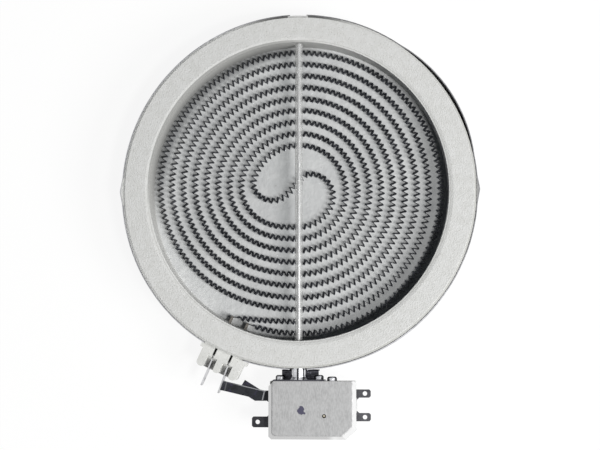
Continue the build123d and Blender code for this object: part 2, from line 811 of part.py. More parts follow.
cover_outside = cover_shape(0, cover_top)
cover_inside = cover_shape(cover_sheet, cover_under)
with BuildPart() as limiter_cover:
    add(cover_outside.part)
    add(cover_inside.part, mode=Mode.SUBTRACT)
    with BuildSketch(Plane.XY.offset(clip_foot)):
        for side, edge, y in ((1, -head_left, left_clip_y), (-1, head_right, right_clip_y)):
            with Locations((edge + side * cover_sheet / 2, y)):
                Rectangle(cover_sheet, clip_width)
    extrude(amount=cover_top - cover_skirt - clip_foot)
    with BuildSketch(Plane.XY.offset(clip_foot)):
        for side, edge, y in ((1, -head_left, left_clip_y), (-1, head_right, right_clip_y)):
            hook = body_inset + clip_hook
            with Locations((edge + side * hook / 2, y)):
                Rectangle(hook, clip_width)
    extrude(amount=cover_sheet)
    with BuildSketch(Plane.XY.offset(clip_foot)):
        with Locations((0, head_front)):
            Rectangle(2 * (head_left + head_right), 2 * cover_bevel_width, align=(Align.CENTER, Align.MIN))
        with BuildLine():
            Polyline(
                (-head_left, head_front),
                (-head_left + front_corner, head_front),
                (-head_left, head_front - front_corner),
                close=True,
            )
        make_face()
        with Locations(trim_place):
            Circle(trim_hole / 2)
    extrude(amount=cover_top, mode=Mode.SUBTRACT)

with BuildPart() as trim_screw:
    with BuildSketch(Plane.XY.offset(trim_seat)):
        with Locations(trim_place):
            Circle(trim_head_diameter / 2)
    extrude(amount=trim_head_height)
    with BuildSketch(Plane.XY.offset(trim_seat + trim_head_height)):
        with Locations(trim_place):
            Rectangle(trim_head_diameter, trim_slot)
    extrude(amount=-trim_head_height / 2, mode=Mode.SUBTRACT)
    with BuildSketch(Plane.XY.offset(trim_seat)):
        with Locations(trim_place):
            Circle(trim_shank / 2)
    extrude(amount=-screw_reach)

# Terminals of the head: flat plates that run out through the body's windows as tabs
power_fixed_face = power_face + contact_height + closed_gap
power_lug_y = power_fixed_face + contact_height
signal_travel = stroke * (signal_pivot_x - signal_contact_x) / signal_pivot_x
signal_moving_face = signal_pivot_y - arm_thickness / 2 - contact_height
signal_fixed_face = signal_moving_face - signal_travel - closed_gap
signal_lug_y = signal_fixed_face - contact_height


def tab_plane(edge, y, outward):
    """Level plane at the head's side, with local x pointing out of the head."""
    return Plane(origin=(edge, y, terminal_height), x_dir=(outward, 0, 0), z_dir=(0, 0, 1))


with BuildPart() as power_tab:
    with BuildSketch(tab_plane(-head_left, power_tab_y, -1)):
        tab_outline(power_tab_reach, power_tab_width)
        tab_stop(power_tab_width, -1)
        with Locations((power_tab_reach - tab_hole_inset, 0)):
            Circle(tab_hole / 2, mode=Mode.SUBTRACT)
    extrude(amount=terminal_sheet)
    with BuildSketch(Plane.XY.offset(terminal_height)):
        inner_end = power_contact_x + lug_width / 2
        with Locations((-head_left, power_tab_y)):
            Rectangle(head_left + inner_end, power_tab_width, align=(Align.MIN, Align.CENTER))
        with Locations((inner_end, power_tab_y)):
            Rectangle(lug_width, power_lug_y + terminal_sheet - power_tab_y, align=(Align.MAX, Align.MIN))
    extrude(amount=terminal_sheet)
    with BuildSketch(across(power_lug_y + terminal_sheet)):
        with Locations((power_contact_x, terminal_height)):
            Rectangle(lug_width, arm_top - terminal_height, align=(Align.CENTER, Align.MIN))
    extrude(amount=terminal_sheet)

with BuildPart() as link_arm:
    arm_corner = (-(head_left + arm_neck_reach), arm_y, terminal_height)
    slant = radians(180 - arm_tab_angle)
    with BuildSketch(Plane(origin=arm_corner, x_dir=(cos(slant), sin(slant), 0), z_dir=(0, 0, 1))):
        Rectangle(arm_tab_length, arm_tab_width, align=(Align.MIN, Align.CENTER))
    extrude(amount=terminal_sheet)
    pad = pivot_eye_radius + fit_clearance
    arm_heel = arm_tab_width / 2 * sin(radians(arm_tab_angle))
    with BuildSketch(tab_plane(-head_left, arm_y, -1)):
        tab_stop(arm_neck_width, 1)
    extrude(amount=terminal_sheet)
    with BuildSketch(Plane.XY.offset(terminal_height)):
        with Locations((power_pivot_x + pad, arm_y)):
            Rectangle(head_left + arm_neck_reach + arm_heel + power_pivot_x + pad, arm_neck_width,
                      align=(Align.MAX, Align.CENTER))
        with Locations((power_pivot_x, power_pivot_y - pad)):
            Rectangle(2 * pad, arm_y - power_pivot_y + pad, align=(Align.CENTER, Align.MIN))
        with Locations((power_pivot_x, power_pivot_y)):
            Circle(pivot_radius + fit_clearance, mode=Mode.SUBTRACT)
    extrude(amount=terminal_sheet)

with BuildPart() as upper_signal_tab:
    with BuildSketch(tab_plane(head_right, upper_signal_y, 1)):
        tab_outline(signal_tab_reach, signal_tab_width)
        tab_stop(signal_tab_width, -1)
        with Locations((signal_tab_reach - tab_hole_inset, 0)):
            Circle(tab_hole / 2, mode=Mode.SUBTRACT)
    extrude(amount=terminal_sheet)
    with BuildSketch(Plane.XY.offset(terminal_height)):
        with Locations((head_right, upper_signal_y)):
            Rectangle(head_right - signal_pivot_x + pad, signal_tab_width, align=(Align.MAX, Align.CENTER))
        with Locations((signal_pivot_x, signal_pivot_y)):
            Circle(pivot_radius + fit_clearance, mode=Mode.SUBTRACT)
    extrude(amount=terminal_sheet)

with BuildPart() as lower_signal_tab:
    with BuildSketch(tab_plane(head_right, lower_signal_y, 1)):
        tab_outline(signal_tab_reach, signal_tab_width)
        tab_stop(signal_tab_width, 1)
        with Locations((signal_tab_reach - tab_hole_inset, 0)):
            Circle(tab_hole / 2, mode=Mode.SUBTRACT)
    extrude(amount=terminal_sheet)
    with BuildSketch(Plane.XY.offset(terminal_height)):
        run_left = signal_run_x - signal_run_width / 2
        run_right = signal_run_x + signal_run_width / 2
        finger_left = signal_contact_x - lug_width / 2
        with Locations((run_left, lower_signal_y)):
            Rectangle(head_right - run_left, signal_tab_width, align=(Align.MIN, Align.CENTER))
        with Locations((run_left, lower_signal_y)):
            Rectangle(signal_run_width, signal_lug_y - lower_signal_y, align=(Align.MIN, Align.MIN))
        with Locations((finger_left, signal_lug_y)):
            Rectangle(run_right - finger_left, signal_finger_width, align=(Align.MIN, Align.MAX))
    extrude(amount=terminal_sheet)
    with BuildSketch(across(signal_lug_y)):
        with Locations((signal_contact_x, terminal_height)):
            Rectangle(lug_width, arm_top - terminal_height, align=(Align.CENTER, Align.MIN))
    extrude(amount=terminal_sheet)

# Link strip from the limiter's arm to the right blade, turned down against the blade's face
with BuildPart() as link_strip:
    blade_face = blade_thickness / 2 + fit_clearance
    flange_near = blade_outer - link_blade_inset - link_width
    on_blade = blade_plane(1, terminal_top)
    near = on_blade.from_local_coords(Vector(flange_near, blade_face, 0))
    far = on_blade.from_local_coords(Vector(flange_near + link_width, blade_face, 0))
    link_end = Vector(-(head_left + link_head_gap), arm_y, terminal_top)
    along = (link_end - (near + far) / 2).normalized()
    beside = Vector(-along.Y, along.X) * (link_width / 2)
    with BuildSketch(Plane.XY.offset(terminal_top)):
        with BuildLine():
            Polyline(*[(v.X, v.Y) for v in (near, far, link_end - beside, link_end + beside)], close=True)
        make_face()
    extrude(amount=link_sheet)
    with BuildSketch(blade_plane(1, blade_foot)):
        with Locations((flange_near, blade_face)):
            Rectangle(link_width, link_sheet, align=(Align.MIN, Align.MIN))
    extrude(amount=terminal_top + link_sheet - blade_foot)


# Pivots, contact arms and contacts
def pivot_pin(x, y):
    """Stepped pin: a shank in the terminal, a collar under the arm's eye and a head over it."""
    collar_top = arm_foot - pivot_collar_gap
    head_foot = arm_top + pivot_collar_gap
    with BuildPart() as pin:
        for foot, top, radius in (
            (terminal_height, head_foot, pivot_radius),
            (terminal_top, collar_top, pivot_eye_radius),
            (head_foot, head_foot + pivot_head_height, pivot_eye_radius),
        ):
            with BuildSketch(Plane.XY.offset(foot)):
                with Locations((x, y)):
                    Circle(radius)
            extrude(amount=top - foot)
    return pin


def contact_arm(pivot_x, pivot_y, free_x):
    """Flat arm with an eye on its pivot."""
    with BuildPart() as arm:
        with BuildSketch(Plane.XY.offset(arm_foot)):
            with Locations((pivot_x, pivot_y)):
                Circle(pivot_eye_radius)
            with Locations(((pivot_x + free_x) / 2, pivot_y)):
                Rectangle(abs(pivot_x - free_x), arm_thickness)
            with Locations((pivot_x, pivot_y)):
                Circle(pivot_radius + pivot_clearance, mode=Mode.SUBTRACT)
        extrude(amount=arm_height)
    return arm


def contact_button(x, y):
    """Round contact whose flat back lies on the plane Y = y + its height."""
    with BuildPart() as button:
        with BuildSketch(across(y + contact_height)):
            with Locations((x, tube_height)):
                Circle(contact_diameter / 2)
        extrude(amount=contact_height)
    return button


power_pivot = pivot_pin(power_pivot_x, power_pivot_y)
signal_pivot = pivot_pin(signal_pivot_x, signal_pivot_y)
power_arm = contact_arm(power_pivot_x, power_pivot_y, power_contact_x + arm_overhang)
signal_blank = contact_arm(signal_pivot_x, signal_pivot_y, -fork_overhang)
with BuildPart() as signal_arm:
    add(signal_blank.part)
    fork = stem_diameter + 2 * stem_fork_clearance
    with BuildSketch(across(signal_pivot_y + arm_thickness)):
        with Locations((fork / 2, tube_height)):
            Rectangle(2 * fork_overhang + fork, fork, align=(Align.MAX, Align.CENTER))
    extrude(amount=2 * arm_thickness, mode=Mode.SUBTRACT)

power_contact_moving = contact_button(power_contact_x, power_face)
power_contact_fixed = contact_button(power_contact_x, power_fixed_face)
signal_contact_moving = contact_button(signal_contact_x, signal_moving_face)
signal_contact_fixed = contact_button(signal_contact_x, signal_lug_y)

# Push pin that carries the rod's growth to both contact arms
with BuildPart() as push_pin:
    shoulder = signal_face + shoulder_gap
    tip = power_face + closed_gap
    for start, end, width in ((rod_near_end, shoulder, plunger_diameter), (shoulder, tip, stem_diameter)):
        with BuildSketch(across(start)):
            with Locations((0, tube_height)):
                Circle(width / 2)
        extrude(amount=start - end)
    fillet(push_pin.edges().group_by(Axis.Y)[0], stem_tip_round)

pieces = {
    "pan": pan,
    "insulation_base": insulation_base,
    "insulation_ring": insulation_ring,
    "heating_strip": heating_strip,
    "terminal_block": terminal_block,
    "terminal_blade_left": blade_left,
    "terminal_blade_right": blade_right,
    "quartz_tube": quartz_tube,
    "expansion_rod": expansion_rod,
    "tube_cap": tube_cap,
    "tube_ferrule": tube_ferrule,
    "limiter_bracket": limiter_bracket,
    "bracket_rivets": bracket_rivets,
    "bracket_screws": bracket_screws,
    "adjuster_screw": adjuster_screw,
    "limiter_body": limiter_body,
    "limiter_cover": limiter_cover,
    "trim_screw": trim_screw,
    "power_tab": power_tab,
    "link_arm": link_arm,
    "link_strip": link_strip,
    "upper_signal_tab": upper_signal_tab,
    "lower_signal_tab": lower_signal_tab,
    "power_pivot": power_pivot,
    "power_arm": power_arm,
    "power_contact_moving": power_contact_moving,
    "power_contact_fixed": power_contact_fixed,
    "signal_pivot": signal_pivot,
    "signal_arm": signal_arm,
    "signal_contact_moving": signal_contact_moving,
    "signal_contact_fixed": signal_contact_fixed,
    "push_pin": push_pin,
}
for name, piece in pieces.items():
    piece.part.label = name
    export_step(piece.part, f"parts/{name}.step")
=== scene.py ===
# %% [markdown]
# # A radiant hot plate burner
# The burner works under the glass of a hob. A thin steel pan holds a pressed base and a ring of
# insulation, a corrugated strip glows on the base, and a rod in a quartz tube switches the heat off before
# the glass is too hot. The shapes come from the CAD model, which is loaded here as a fixed frame. This
# file adds the camera, the light, the strip's corrugations and the finish of every surface.

import bpy
import numpy as np
from mathutils import Matrix, Vector


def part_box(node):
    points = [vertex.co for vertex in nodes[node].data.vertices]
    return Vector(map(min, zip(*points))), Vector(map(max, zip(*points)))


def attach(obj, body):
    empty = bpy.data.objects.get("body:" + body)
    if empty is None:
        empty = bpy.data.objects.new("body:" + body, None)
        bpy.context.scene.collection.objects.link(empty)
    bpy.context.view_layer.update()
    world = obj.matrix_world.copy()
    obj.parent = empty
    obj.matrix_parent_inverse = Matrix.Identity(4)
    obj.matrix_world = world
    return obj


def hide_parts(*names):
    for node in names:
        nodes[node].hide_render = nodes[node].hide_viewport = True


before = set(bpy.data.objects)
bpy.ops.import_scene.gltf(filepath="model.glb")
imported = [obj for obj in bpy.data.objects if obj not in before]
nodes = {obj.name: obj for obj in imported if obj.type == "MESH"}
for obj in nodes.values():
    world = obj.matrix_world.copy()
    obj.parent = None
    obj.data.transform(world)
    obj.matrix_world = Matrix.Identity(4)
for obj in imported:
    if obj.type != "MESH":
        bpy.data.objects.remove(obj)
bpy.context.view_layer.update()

# %% [markdown]
# ## Camera
# The picture was taken from above, a little to the right of the burner and a little below its middle: the
# strip, which lies deeper than the ring, looks shifted to the lower right inside it. A long lens far away
# would flatten that. So the camera stands at the distance and lean that give the same shift, and its focal
# length is worked out from how many pixels a metre should take at the ring's top.

# %% Camera
photo_width = 600
pixels_per_metre = 1710.0
ring_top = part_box("insulation_ring")[1].z
aim = Vector((0.0012, -0.0206, ring_top))
camera_rise = 0.82
camera_lean = Vector((0.078, -0.086, 1.0))


def add_object(name, data):
    """Object made from its data and linked into the scene."""
    made = bpy.data.objects.new(name, data)
    bpy.context.scene.collection.objects.link(made)
    return made


eye = aim + camera_lean * camera_rise
forward = (aim - eye).normalized()
right = forward.cross(Vector((0, 1, 0))).normalized()
turn = Matrix((right, right.cross(forward), -forward)).transposed().to_4x4()

lens = bpy.data.cameras.new("camera")
lens.sensor_width = 36.0
lens.lens = lens.sensor_width * pixels_per_metre * (aim - eye).length / photo_width
camera = add_object("camera", lens)
camera.matrix_world = Matrix.Translation(eye) @ turn
bpy.context.scene.camera = camera
print(f"camera {(aim - eye).length:.3f} m away, lens {lens.lens:.1f} mm")

# %% [markdown]
# ## Shader nodes in one line each
# A finish is a small network of nodes. One helper adds a node, sets its options and fills its inputs, and
# another starts a node group with named inputs and outputs. A colour is written in the 0 to 255 steps of a
# screen, because that is how a colour is judged by eye, and is turned into the linear values that light
# uses.

# %% Shader helpers
def put(tree, kind, inputs=None, **options):
    """Adds a node: options are its settings, and each input is linked to a socket or set to a value."""
    made = tree.nodes.new(kind)
    for name, value in options.items():
        setattr(made, name, value)
    for key, value in (inputs or {}).items():
        if isinstance(value, bpy.types.NodeSocket):
            tree.links.new(value, made.inputs[key])
        else:
            made.inputs[key].default_value = value
    return made


def shade(red, green, blue):
    """Linear colour of a screen colour: the screen's curve, undone."""
    steps = np.array([red, green, blue]) / 255
    linear = np.where(steps <= 0.04045, steps / 12.92, ((steps + 0.055) / 1.055) ** 2.4)
    return (*linear.tolist(), 1.0)


def new_group(name, inputs, outputs):
    """Starts a node group from two dicts: inputs to (socket type, default), and outputs to socket types."""
    tree = bpy.data.node_groups.new(name, "ShaderNodeTree")
    for label, (kind, default) in inputs.items():
        tree.interface.new_socket(label, in_out="INPUT", socket_type=kind).default_value = default
    for label, kind in outputs.items():
        tree.interface.new_socket(label, in_out="OUTPUT", socket_type=kind)
    return tree, tree.nodes.new("NodeGroupInput").outputs, tree.nodes.new("NodeGroupOutput").inputs


def use_group(tree, group, inputs):
    """Places a node group in a material with its own values and returns its outputs."""
    return put(tree, "ShaderNodeGroup", inputs, node_tree=group).outputs


def math(tree, operation, *values):
    """One arithmetic node on values or sockets."""
    return put(tree, "ShaderNodeMath", dict(enumerate(values)), operation=operation).outputs[0]


def vector_math(tree, operation, *values):
    """Outputs of one node that works on vectors: a Vector or, for a length or a dot product, a Value."""
    return put(tree, "ShaderNodeVectorMath", dict(enumerate(values)), operation=operation).outputs


def blend_colour(tree, share, first, second):
    """Colour that goes from the first to the second as the share goes from 0 to 1."""
    return put(tree, "ShaderNodeMix", {0: share, 6: first, 7: second}, data_type="RGBA").outputs[2]


def ramp(tree, value, low, high, to_low=0.0, to_high=1.0):
    """Smooth step of a value from one range to another, held at both ends."""
    inputs = {"Value": value, "From Min": low, "From Max": high, "To Min": to_low, "To Max": to_high}
    return put(tree, "ShaderNodeMapRange", inputs, interpolation_type="SMOOTHSTEP").outputs[0]


def blend_value(tree, share, first, second):
    """Value that goes smoothly from the first to the second as the share goes from 0 to 1."""
    return ramp(tree, share, 0.0, 1.0, first, second)


def step_down(tree, value, low, high):
    """Smooth step down: 1 up to the low end of a range, and 0 from its high end on."""
    return ramp(tree, value, low, high, to_low=1.0, to_high=0.0)


def mix_surface(tree, share, first, second):
    """Gives the surface the first shader, and the second one as the share goes from 0 to 1."""
    mix = put(tree, "ShaderNodeMixShader", {0: share, 1: first.outputs[0], 2: second.outputs[0]})
    tree.links.new(mix.outputs[0], tree.nodes["Material Output"].inputs["Surface"])


print(f"screen grey 128 gives {shade(128, 128, 128)[0]:.3f} of the light of white")

# %% [markdown]
# ## Studio
# The photo shows the burner on white, lit from the lower right: the wall of the opening there throws a
# dark band over the base, and each tooth of the strip throws a short shadow to the left. The band is black
# at the wall and fades in two stages, so two lamps stand on that side: a small one high up and a wide one
# lower down. A third lamp overhead would wash out that band, so light linking lets it shine on the tube
# and its rod alone. A clear tube bends steep light under itself, which would take far more samples, so the
# tube and its rod are left out of the high lamp's shadows instead. A weak sky fills the rest. What the
# camera and the reflections see of the floor and the sky is white, while the lamps and that weak fill set
# the level of light.

# %% Sky and floor
white, cool_white = (1, 1, 1, 1), (0.80, 0.90, 1.0, 1)
floor_drop = 1e-4
paper_glow = 1.03


def seen_directly(tree):
    """1 for rays that the camera, a reflection or clear glass sends out, else 0."""
    path = put(tree, "ShaderNodeLightPath").outputs
    either = math(tree, "MAXIMUM", path["Is Camera Ray"], path["Is Glossy Ray"])
    return math(tree, "MAXIMUM", either, path["Is Transmission Ray"])


def make_sky(fill):
    """World that looks white and lights the object with a weak, slightly cool fill."""
    world = bpy.data.worlds.new("sky")
    bpy.context.scene.world = world
    world.use_nodes = True
    tree = world.node_tree
    seen = seen_directly(tree)
    sky = tree.nodes["Background"]
    tree.links.new(math(tree, "MAXIMUM", seen, fill), sky.inputs["Strength"])
    tree.links.new(blend_colour(tree, seen, cool_white, white), sky.inputs["Color"])


def make_floor(half_width, glow):
    """Pale floor: mostly plain white where it is seen, with the object's shadow left on it."""
    mesh = bpy.data.meshes.new("floor")
    sides = [(-1, -1), (1, -1), (1, 1), (-1, 1)]
    mesh.from_pydata([(x * half_width, y * half_width, -floor_drop) for x, y in sides], [], [(0, 1, 2, 3)])
    floor = add_object("floor", mesh)
    material = bpy.data.materials.new("floor_paper")
    material.use_nodes = True
    tree = material.node_tree
    paper = tree.nodes["Principled BSDF"]
    paper.inputs["Base Color"].default_value = shade(238, 238, 236)
    paper.inputs["Roughness"].default_value = 0.9
    plain = put(tree, "ShaderNodeEmission", {"Strength": paper_glow})
    share = math(tree, "MULTIPLY", seen_directly(tree), glow)
    mix_surface(tree, share, paper, plain)
    mesh.materials.append(material)


bpy.context.scene.view_settings.view_transform = "Standard"
make_sky(fill=0.045)
make_floor(half_width=4.0, glow=0.88)
print("studio: a weak sky and a white floor")

# %% Lamps
lamp_distance = 2.4
probe = ["quartz_tube", "expansion_rod"]


def make_lamp(name, toward, sides, share):
    """Soft lamp of two side lengths, which gives a level white sheet this share of full white."""
    direction = Vector(toward).normalized()
    lamp = bpy.data.lights.new(name, "AREA")
    lamp.shape = "RECTANGLE"
    lamp.size, lamp.size_y = sides
    lamp.energy = share * np.pi**2 * lamp_distance**2 / direction.z
    holder = add_object(name, lamp)
    holder.location = aim + direction * lamp_distance
    holder.rotation_euler = direction.to_track_quat("Z", "Y").to_euler()
    return holder


def spare_shadow(lamp, spared):
    """Shadow linking: a collection of the pieces that throw no shadow in this lamp's light."""
    clear = bpy.data.collections.new("clear_to_" + lamp.name)
    for name in spared:
        clear.objects.link(nodes[name])
    for entry in clear.collection_objects:
        entry.light_linking.link_state = "EXCLUDE"
    lamp.light_linking.blocker_collection = clear


def shine_only(lamp, lit):
    """Light linking: a collection of the only pieces that this lamp's light falls on."""
    chosen = bpy.data.collections.new("lit_by_" + lamp.name)
    for name in lit:
        chosen.objects.link(nodes[name])
    lamp.light_linking.receiver_collection = chosen


make_lamp("side", toward=(0.72, -0.34, 0.60), sides=(1.0, 1.0), share=0.55)
high_lamp = make_lamp("high", toward=(0.37, -0.24, 0.90), sides=(0.5, 0.3), share=0.40)
spare_shadow(high_lamp, probe)
shine_lamp = make_lamp("shine", toward=(0.28, 0.01, 0.96), sides=(0.3, 0.5), share=0.25)
shine_only(shine_lamp, probe)
print("lamps: two soft ones on the right and one for the tube alone")

# %% [markdown]
# ## Corrugated strip
# The real strip is a thin band of resistance alloy, folded into even waves and pressed edgewise into the
# base. It runs as two arms that lie level for most of each turn and step out together near the terminals,
# and an S joins them at the centre. An array of small plates would break at each wave, so the whole band
# is one surface: first the smooth path, then waves added sideways along its length, then a thin profile
# carried along the waves.

# %% Strip path
turns_per_side = 9
first_turn = 0.014
last_turn = 0.084
turn_spacing = (last_turn - first_turn) / (turns_per_side + 1)
step_start = 90.0
step_end = 195.0
block_angle = 24.8
blade_spacing = 0.010
blade_face = 0.00045
s_start = 30.0
quarter_pull = 1.17


def arm_radius(angle, first):
    """Radius at a clockwise angle from +X: level, with a smooth step of two spacings in each turn."""
    turns, part = np.divmod(angle - step_start, 360.0)
    step = np.minimum(part / (step_end - step_start), 1.0)
    return first + 2 * turn_spacing * (turns + step**2 * (3 - 2 * step))


def blade_angle(side):
    """Clockwise angle within a turn at which the last turn meets a blade's near face."""
    return 90 + block_angle - np.degrees(np.arctan2(side * blade_spacing / 2 + blade_face, last_turn))


long_end = 360.0 * ((turns_per_side + 1) // 2) + blade_angle(1)
short_turns = 360.0 * (turns_per_side // 2)
short_end = short_turns + blade_angle(-1)


def long_arm(angle):
    """The outer arm, which keeps the last turn's radius up to its blade."""
    return np.minimum(arm_radius(angle, first_turn), last_turn)


def short_arm(angle):
    """The inner arm, which swings out to the last turn's radius along a parabola at its blade."""
    swing_start = short_turns + step_start
    swing = np.clip((angle - swing_start) / (short_end - swing_start), 0, 1)
    level = arm_radius(np.minimum(angle, swing_start), first_turn + turn_spacing)
    return np.where(angle <= swing_start, level, last_turn - turn_spacing * (1 - swing**2))


def arm_points(radius, first, last, count=4000):
    """Points of an arm from the centre outwards: radius times the cosine and minus the sine of the angle."""
    angle = np.linspace(first, last, count)
    flat = np.column_stack((np.cos(np.radians(angle)), -np.sin(np.radians(angle))))
    return flat * radius(angle)[:, None]


def smooth_joins(points, directions, count=60):
    """Cubic curves between points along given directions, each as stiff as a quarter circle would be."""
    start, end = points[:-1, None], points[1:, None]
    pull = quarter_pull * np.linalg.norm(end - start, axis=2, keepdims=True)
    leave, arrive = directions[:-1, None] * pull, directions[1:, None] * pull
    t = np.linspace(0, 1, count, endpoint=False)[None, :, None]
    curve = (2 * t**3 - 3 * t**2 + 1) * start + (t**3 - 2 * t**2 + t) * leave
    return (curve + (3 * t**2 - 2 * t**3) * end + (t**3 - t**2) * arrive).reshape(-1, 2)


inner_arm = arm_points(short_arm, s_start, short_end)[::-1]
outer_arm = arm_points(long_arm, step_end, long_end)
s_shares = np.array([(0.968, -0.123), (0.327, 0.509), (-0.136, 0.155), (-0.75, -0.241)])
s_turns = np.array([(0, 1), (-1, 0), (-0.62, -0.78), (-1, 0)])
s_points = np.vstack((inner_arm[-1], s_shares * (first_turn + turn_spacing), outer_arm[0]))
s_directions = np.vstack((inner_arm[-1] - inner_arm[-2], s_turns, outer_arm[1] - outer_arm[0]))
s_directions = s_directions / np.linalg.norm(s_directions, axis=1, keepdims=True)
rough_path = np.vstack((inner_arm[:-1], smooth_joins(s_points, s_directions), outer_arm))
rough_length = np.concatenate(([0], np.cumsum(np.linalg.norm(np.diff(rough_path, axis=0), axis=1))))
print(f"strip {rough_length[-1]:.3f} m long before it is folded")

# %% Strip band
wave_pitch = 0.00333
wave_depth = 0.00155
wave_sharpness = 0.7
points_per_wave = 12
flat_end = 0.004
band_thickness = 0.00018
sharp_corner = np.radians(50)


def sideways(line):
    """Unit vectors to the left of a line's own direction, from the differences of its points."""
    along = np.gradient(line, axis=0)
    along = along / np.linalg.norm(along, axis=1, keepdims=True)
    return np.column_stack((-along[:, 1], along[:, 0]))


def folded_line(path, length):
    """Even waves on a path: the arc sine of a sine, between a sine and a zigzag, with flat welded ends."""
    waves = round(length[-1] / wave_pitch)
    distance = np.linspace(0, length[-1], waves * points_per_wave + 1)
    line = np.column_stack([np.interp(distance, length, path[:, axis]) for axis in (0, 1)])
    phase = np.sin(2 * np.pi * waves * distance / length[-1])
    wave = np.arcsin(wave_sharpness * phase) / np.arcsin(wave_sharpness)
    room = np.minimum(distance, length[-1] - distance) / flat_end
    ease = np.clip(room - 0.5, 0, 1)
    return line + sideways(line) * (wave_depth * wave * ease**2 * (3 - 2 * ease))[:, None]


def skin(name, grid):
    """Mesh of a tube of profiles: grid[i, j] is corner j of profile i, and both ends get a cap."""
    rows, corners = grid.shape[:2]
    index = np.arange(rows * corners).reshape(rows, corners)
    across = np.roll(index, -1, axis=1)
    walls = np.stack((index[:-1], across[:-1], across[1:], index[1:]), axis=-1).reshape(-1, 4)
    caps = np.stack((index[0, ::-1], index[-1]))
    mesh = bpy.data.meshes.new(name)
    mesh.from_pydata(grid.reshape(-1, 3).tolist(), [], np.vstack((walls, caps)).tolist())
    mesh.shade_smooth()
    mesh.set_sharp_from_angle(angle=sharp_corner)
    return add_object(name, mesh)


strip_low, strip_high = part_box("heating_strip")
strip_line = folded_line(rough_path, rough_length)
strip_half = sideways(strip_line) * band_thickness / 2
strip_near, strip_far = strip_line - strip_half, strip_line + strip_half
strip_corners = [(strip_near, strip_low.z), (strip_far, strip_low.z), (strip_far, strip_high.z),
                 (strip_near, strip_high.z)]
strip_grid = np.stack([
    np.column_stack((side, np.full(len(side), level))) for side, level in strip_corners
], axis=1)
strip = skin("corrugated_strip", strip_grid)
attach(strip, "heater_frame")
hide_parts("heating_strip")
print(f"strip with {len(strip_line) // points_per_wave} waves, {len(strip.data.polygons)} faces")

# %% [markdown]
# ## Effects that several finishes share
# Pressed powder, ceramic and rolled sheet all vary a little from place to place, carry small flecks and
# have a fine relief. Copying the nodes into each finish would hide what differs between them. So each
# effect is a node group, with a helper that places it: soft patches between two colours, scattered flecks,
# and a grain that can be drawn out one way.

# %% Soft patches
finer = 5.0
large_share, fine_share = 0.6, 0.4
patch_low, patch_high = 0.32, 0.68
patch_detail = 3.0


def make_patches():
    """Soft patches: two layers of noise, a large one and a finer one, mixed between two colours."""
    tree, given, out = new_group("patches", {
        "Vector": ("NodeSocketVector", (0, 0, 0)),
        "Size": ("NodeSocketFloat", 0.01),
        "Dark": ("NodeSocketColor", (0, 0, 0, 1)),
        "Light": ("NodeSocketColor", (1, 1, 1, 1)),
    }, {"Color": "NodeSocketColor", "Value": "NodeSocketFloat"})
    where = given["Vector"]
    scale = math(tree, "DIVIDE", 1.0, given["Size"])
    fine_scale = math(tree, "MULTIPLY", scale, finer)
    large = put(tree, "ShaderNodeTexNoise", {"Vector": where, "Scale": scale, "Detail": patch_detail})
    fine = put(tree, "ShaderNodeTexNoise", {"Vector": where, "Scale": fine_scale, "Detail": patch_detail})
    fine_part = math(tree, "MULTIPLY", fine.outputs[0], fine_share)
    both = math(tree, "MULTIPLY_ADD", large.outputs[0], large_share, fine_part)
    value = ramp(tree, both, patch_low, patch_high)
    tree.links.new(value, out["Value"])
    tree.links.new(blend_colour(tree, value, given["Dark"], given["Light"]), out["Color"])
    return tree


patches = make_patches()


def tones(tree, where, dark, light, size):
    """Places the patches: their colour and value, for patches of this size between two screen colours."""
    inputs = {"Vector": where, "Size": size, "Dark": shade(*dark), "Light": shade(*light)}
    return use_group(tree, patches, inputs)


print("group:", patches.name)

# %% Flecks
spot_core, spot_rim = 0.2, 0.5


def make_flecks():
    """Scattered flecks: cells of a Voronoi pattern, of which a share is filled near the cell's centre."""
    tree, given, out = new_group("flecks", {
        "Vector": ("NodeSocketVector", (0, 0, 0)),
        "Size": ("NodeSocketFloat", 0.001),
        "Share": ("NodeSocketFloat", 0.3),
    }, {"Mask": "NodeSocketFloat"})
    scale = math(tree, "DIVIDE", 1.0, given["Size"])
    cells = put(tree, "ShaderNodeTexVoronoi", {"Vector": given["Vector"], "Scale": scale})
    chance = put(tree, "ShaderNodeSeparateColor", {0: cells.outputs["Color"]}).outputs[0]
    chosen = math(tree, "LESS_THAN", chance, given["Share"])
    spot = step_down(tree, cells.outputs["Distance"], spot_core, spot_rim)
    tree.links.new(math(tree, "MULTIPLY", chosen, spot), out["Mask"])
    return tree


flecks = make_flecks()


def fleck_mask(tree, where, size, share):
    """Places the flecks: the mask of flecks of this size in a share of the cells."""
    return use_group(tree, flecks, {"Vector": where, "Size": size, "Share": share})["Mask"]


print("group:", flecks.name)

# %% Grain
grain_detail = 4.0
round_grain = (1, 1, 1)
along_x, along_y, along_z = (0.15, 1, 1), (1, 0.3, 1), (1, 1, 0.2)
drawn_along_y = (1, 0.02, 1)


def make_grain():
    """Fine relief: noise on coordinates stretched by a vector, so that the grain is round or drawn out."""
    tree, given, out = new_group("grain", {
        "Vector": ("NodeSocketVector", (0, 0, 0)),
        "Stretch": ("NodeSocketVector", (1, 1, 1)),
        "Size": ("NodeSocketFloat", 0.0005),
    }, {"Height": "NodeSocketFloat"})
    scale = math(tree, "DIVIDE", 1.0, given["Size"])
    drawn = vector_math(tree, "MULTIPLY", given["Vector"], given["Stretch"])["Vector"]
    inputs = {"Vector": drawn, "Scale": scale, "Detail": grain_detail}
    tree.links.new(put(tree, "ShaderNodeTexNoise", inputs).outputs[0], out["Height"])
    return tree


grain = make_grain()


def grain_height(tree, where, size, stretch=round_grain):
    """Places the grain: its height, for grains of this size, longer along an axis with a small stretch."""
    return use_group(tree, grain, {"Vector": where, "Stretch": stretch, "Size": size})["Height"]


print("group:", grain.name)

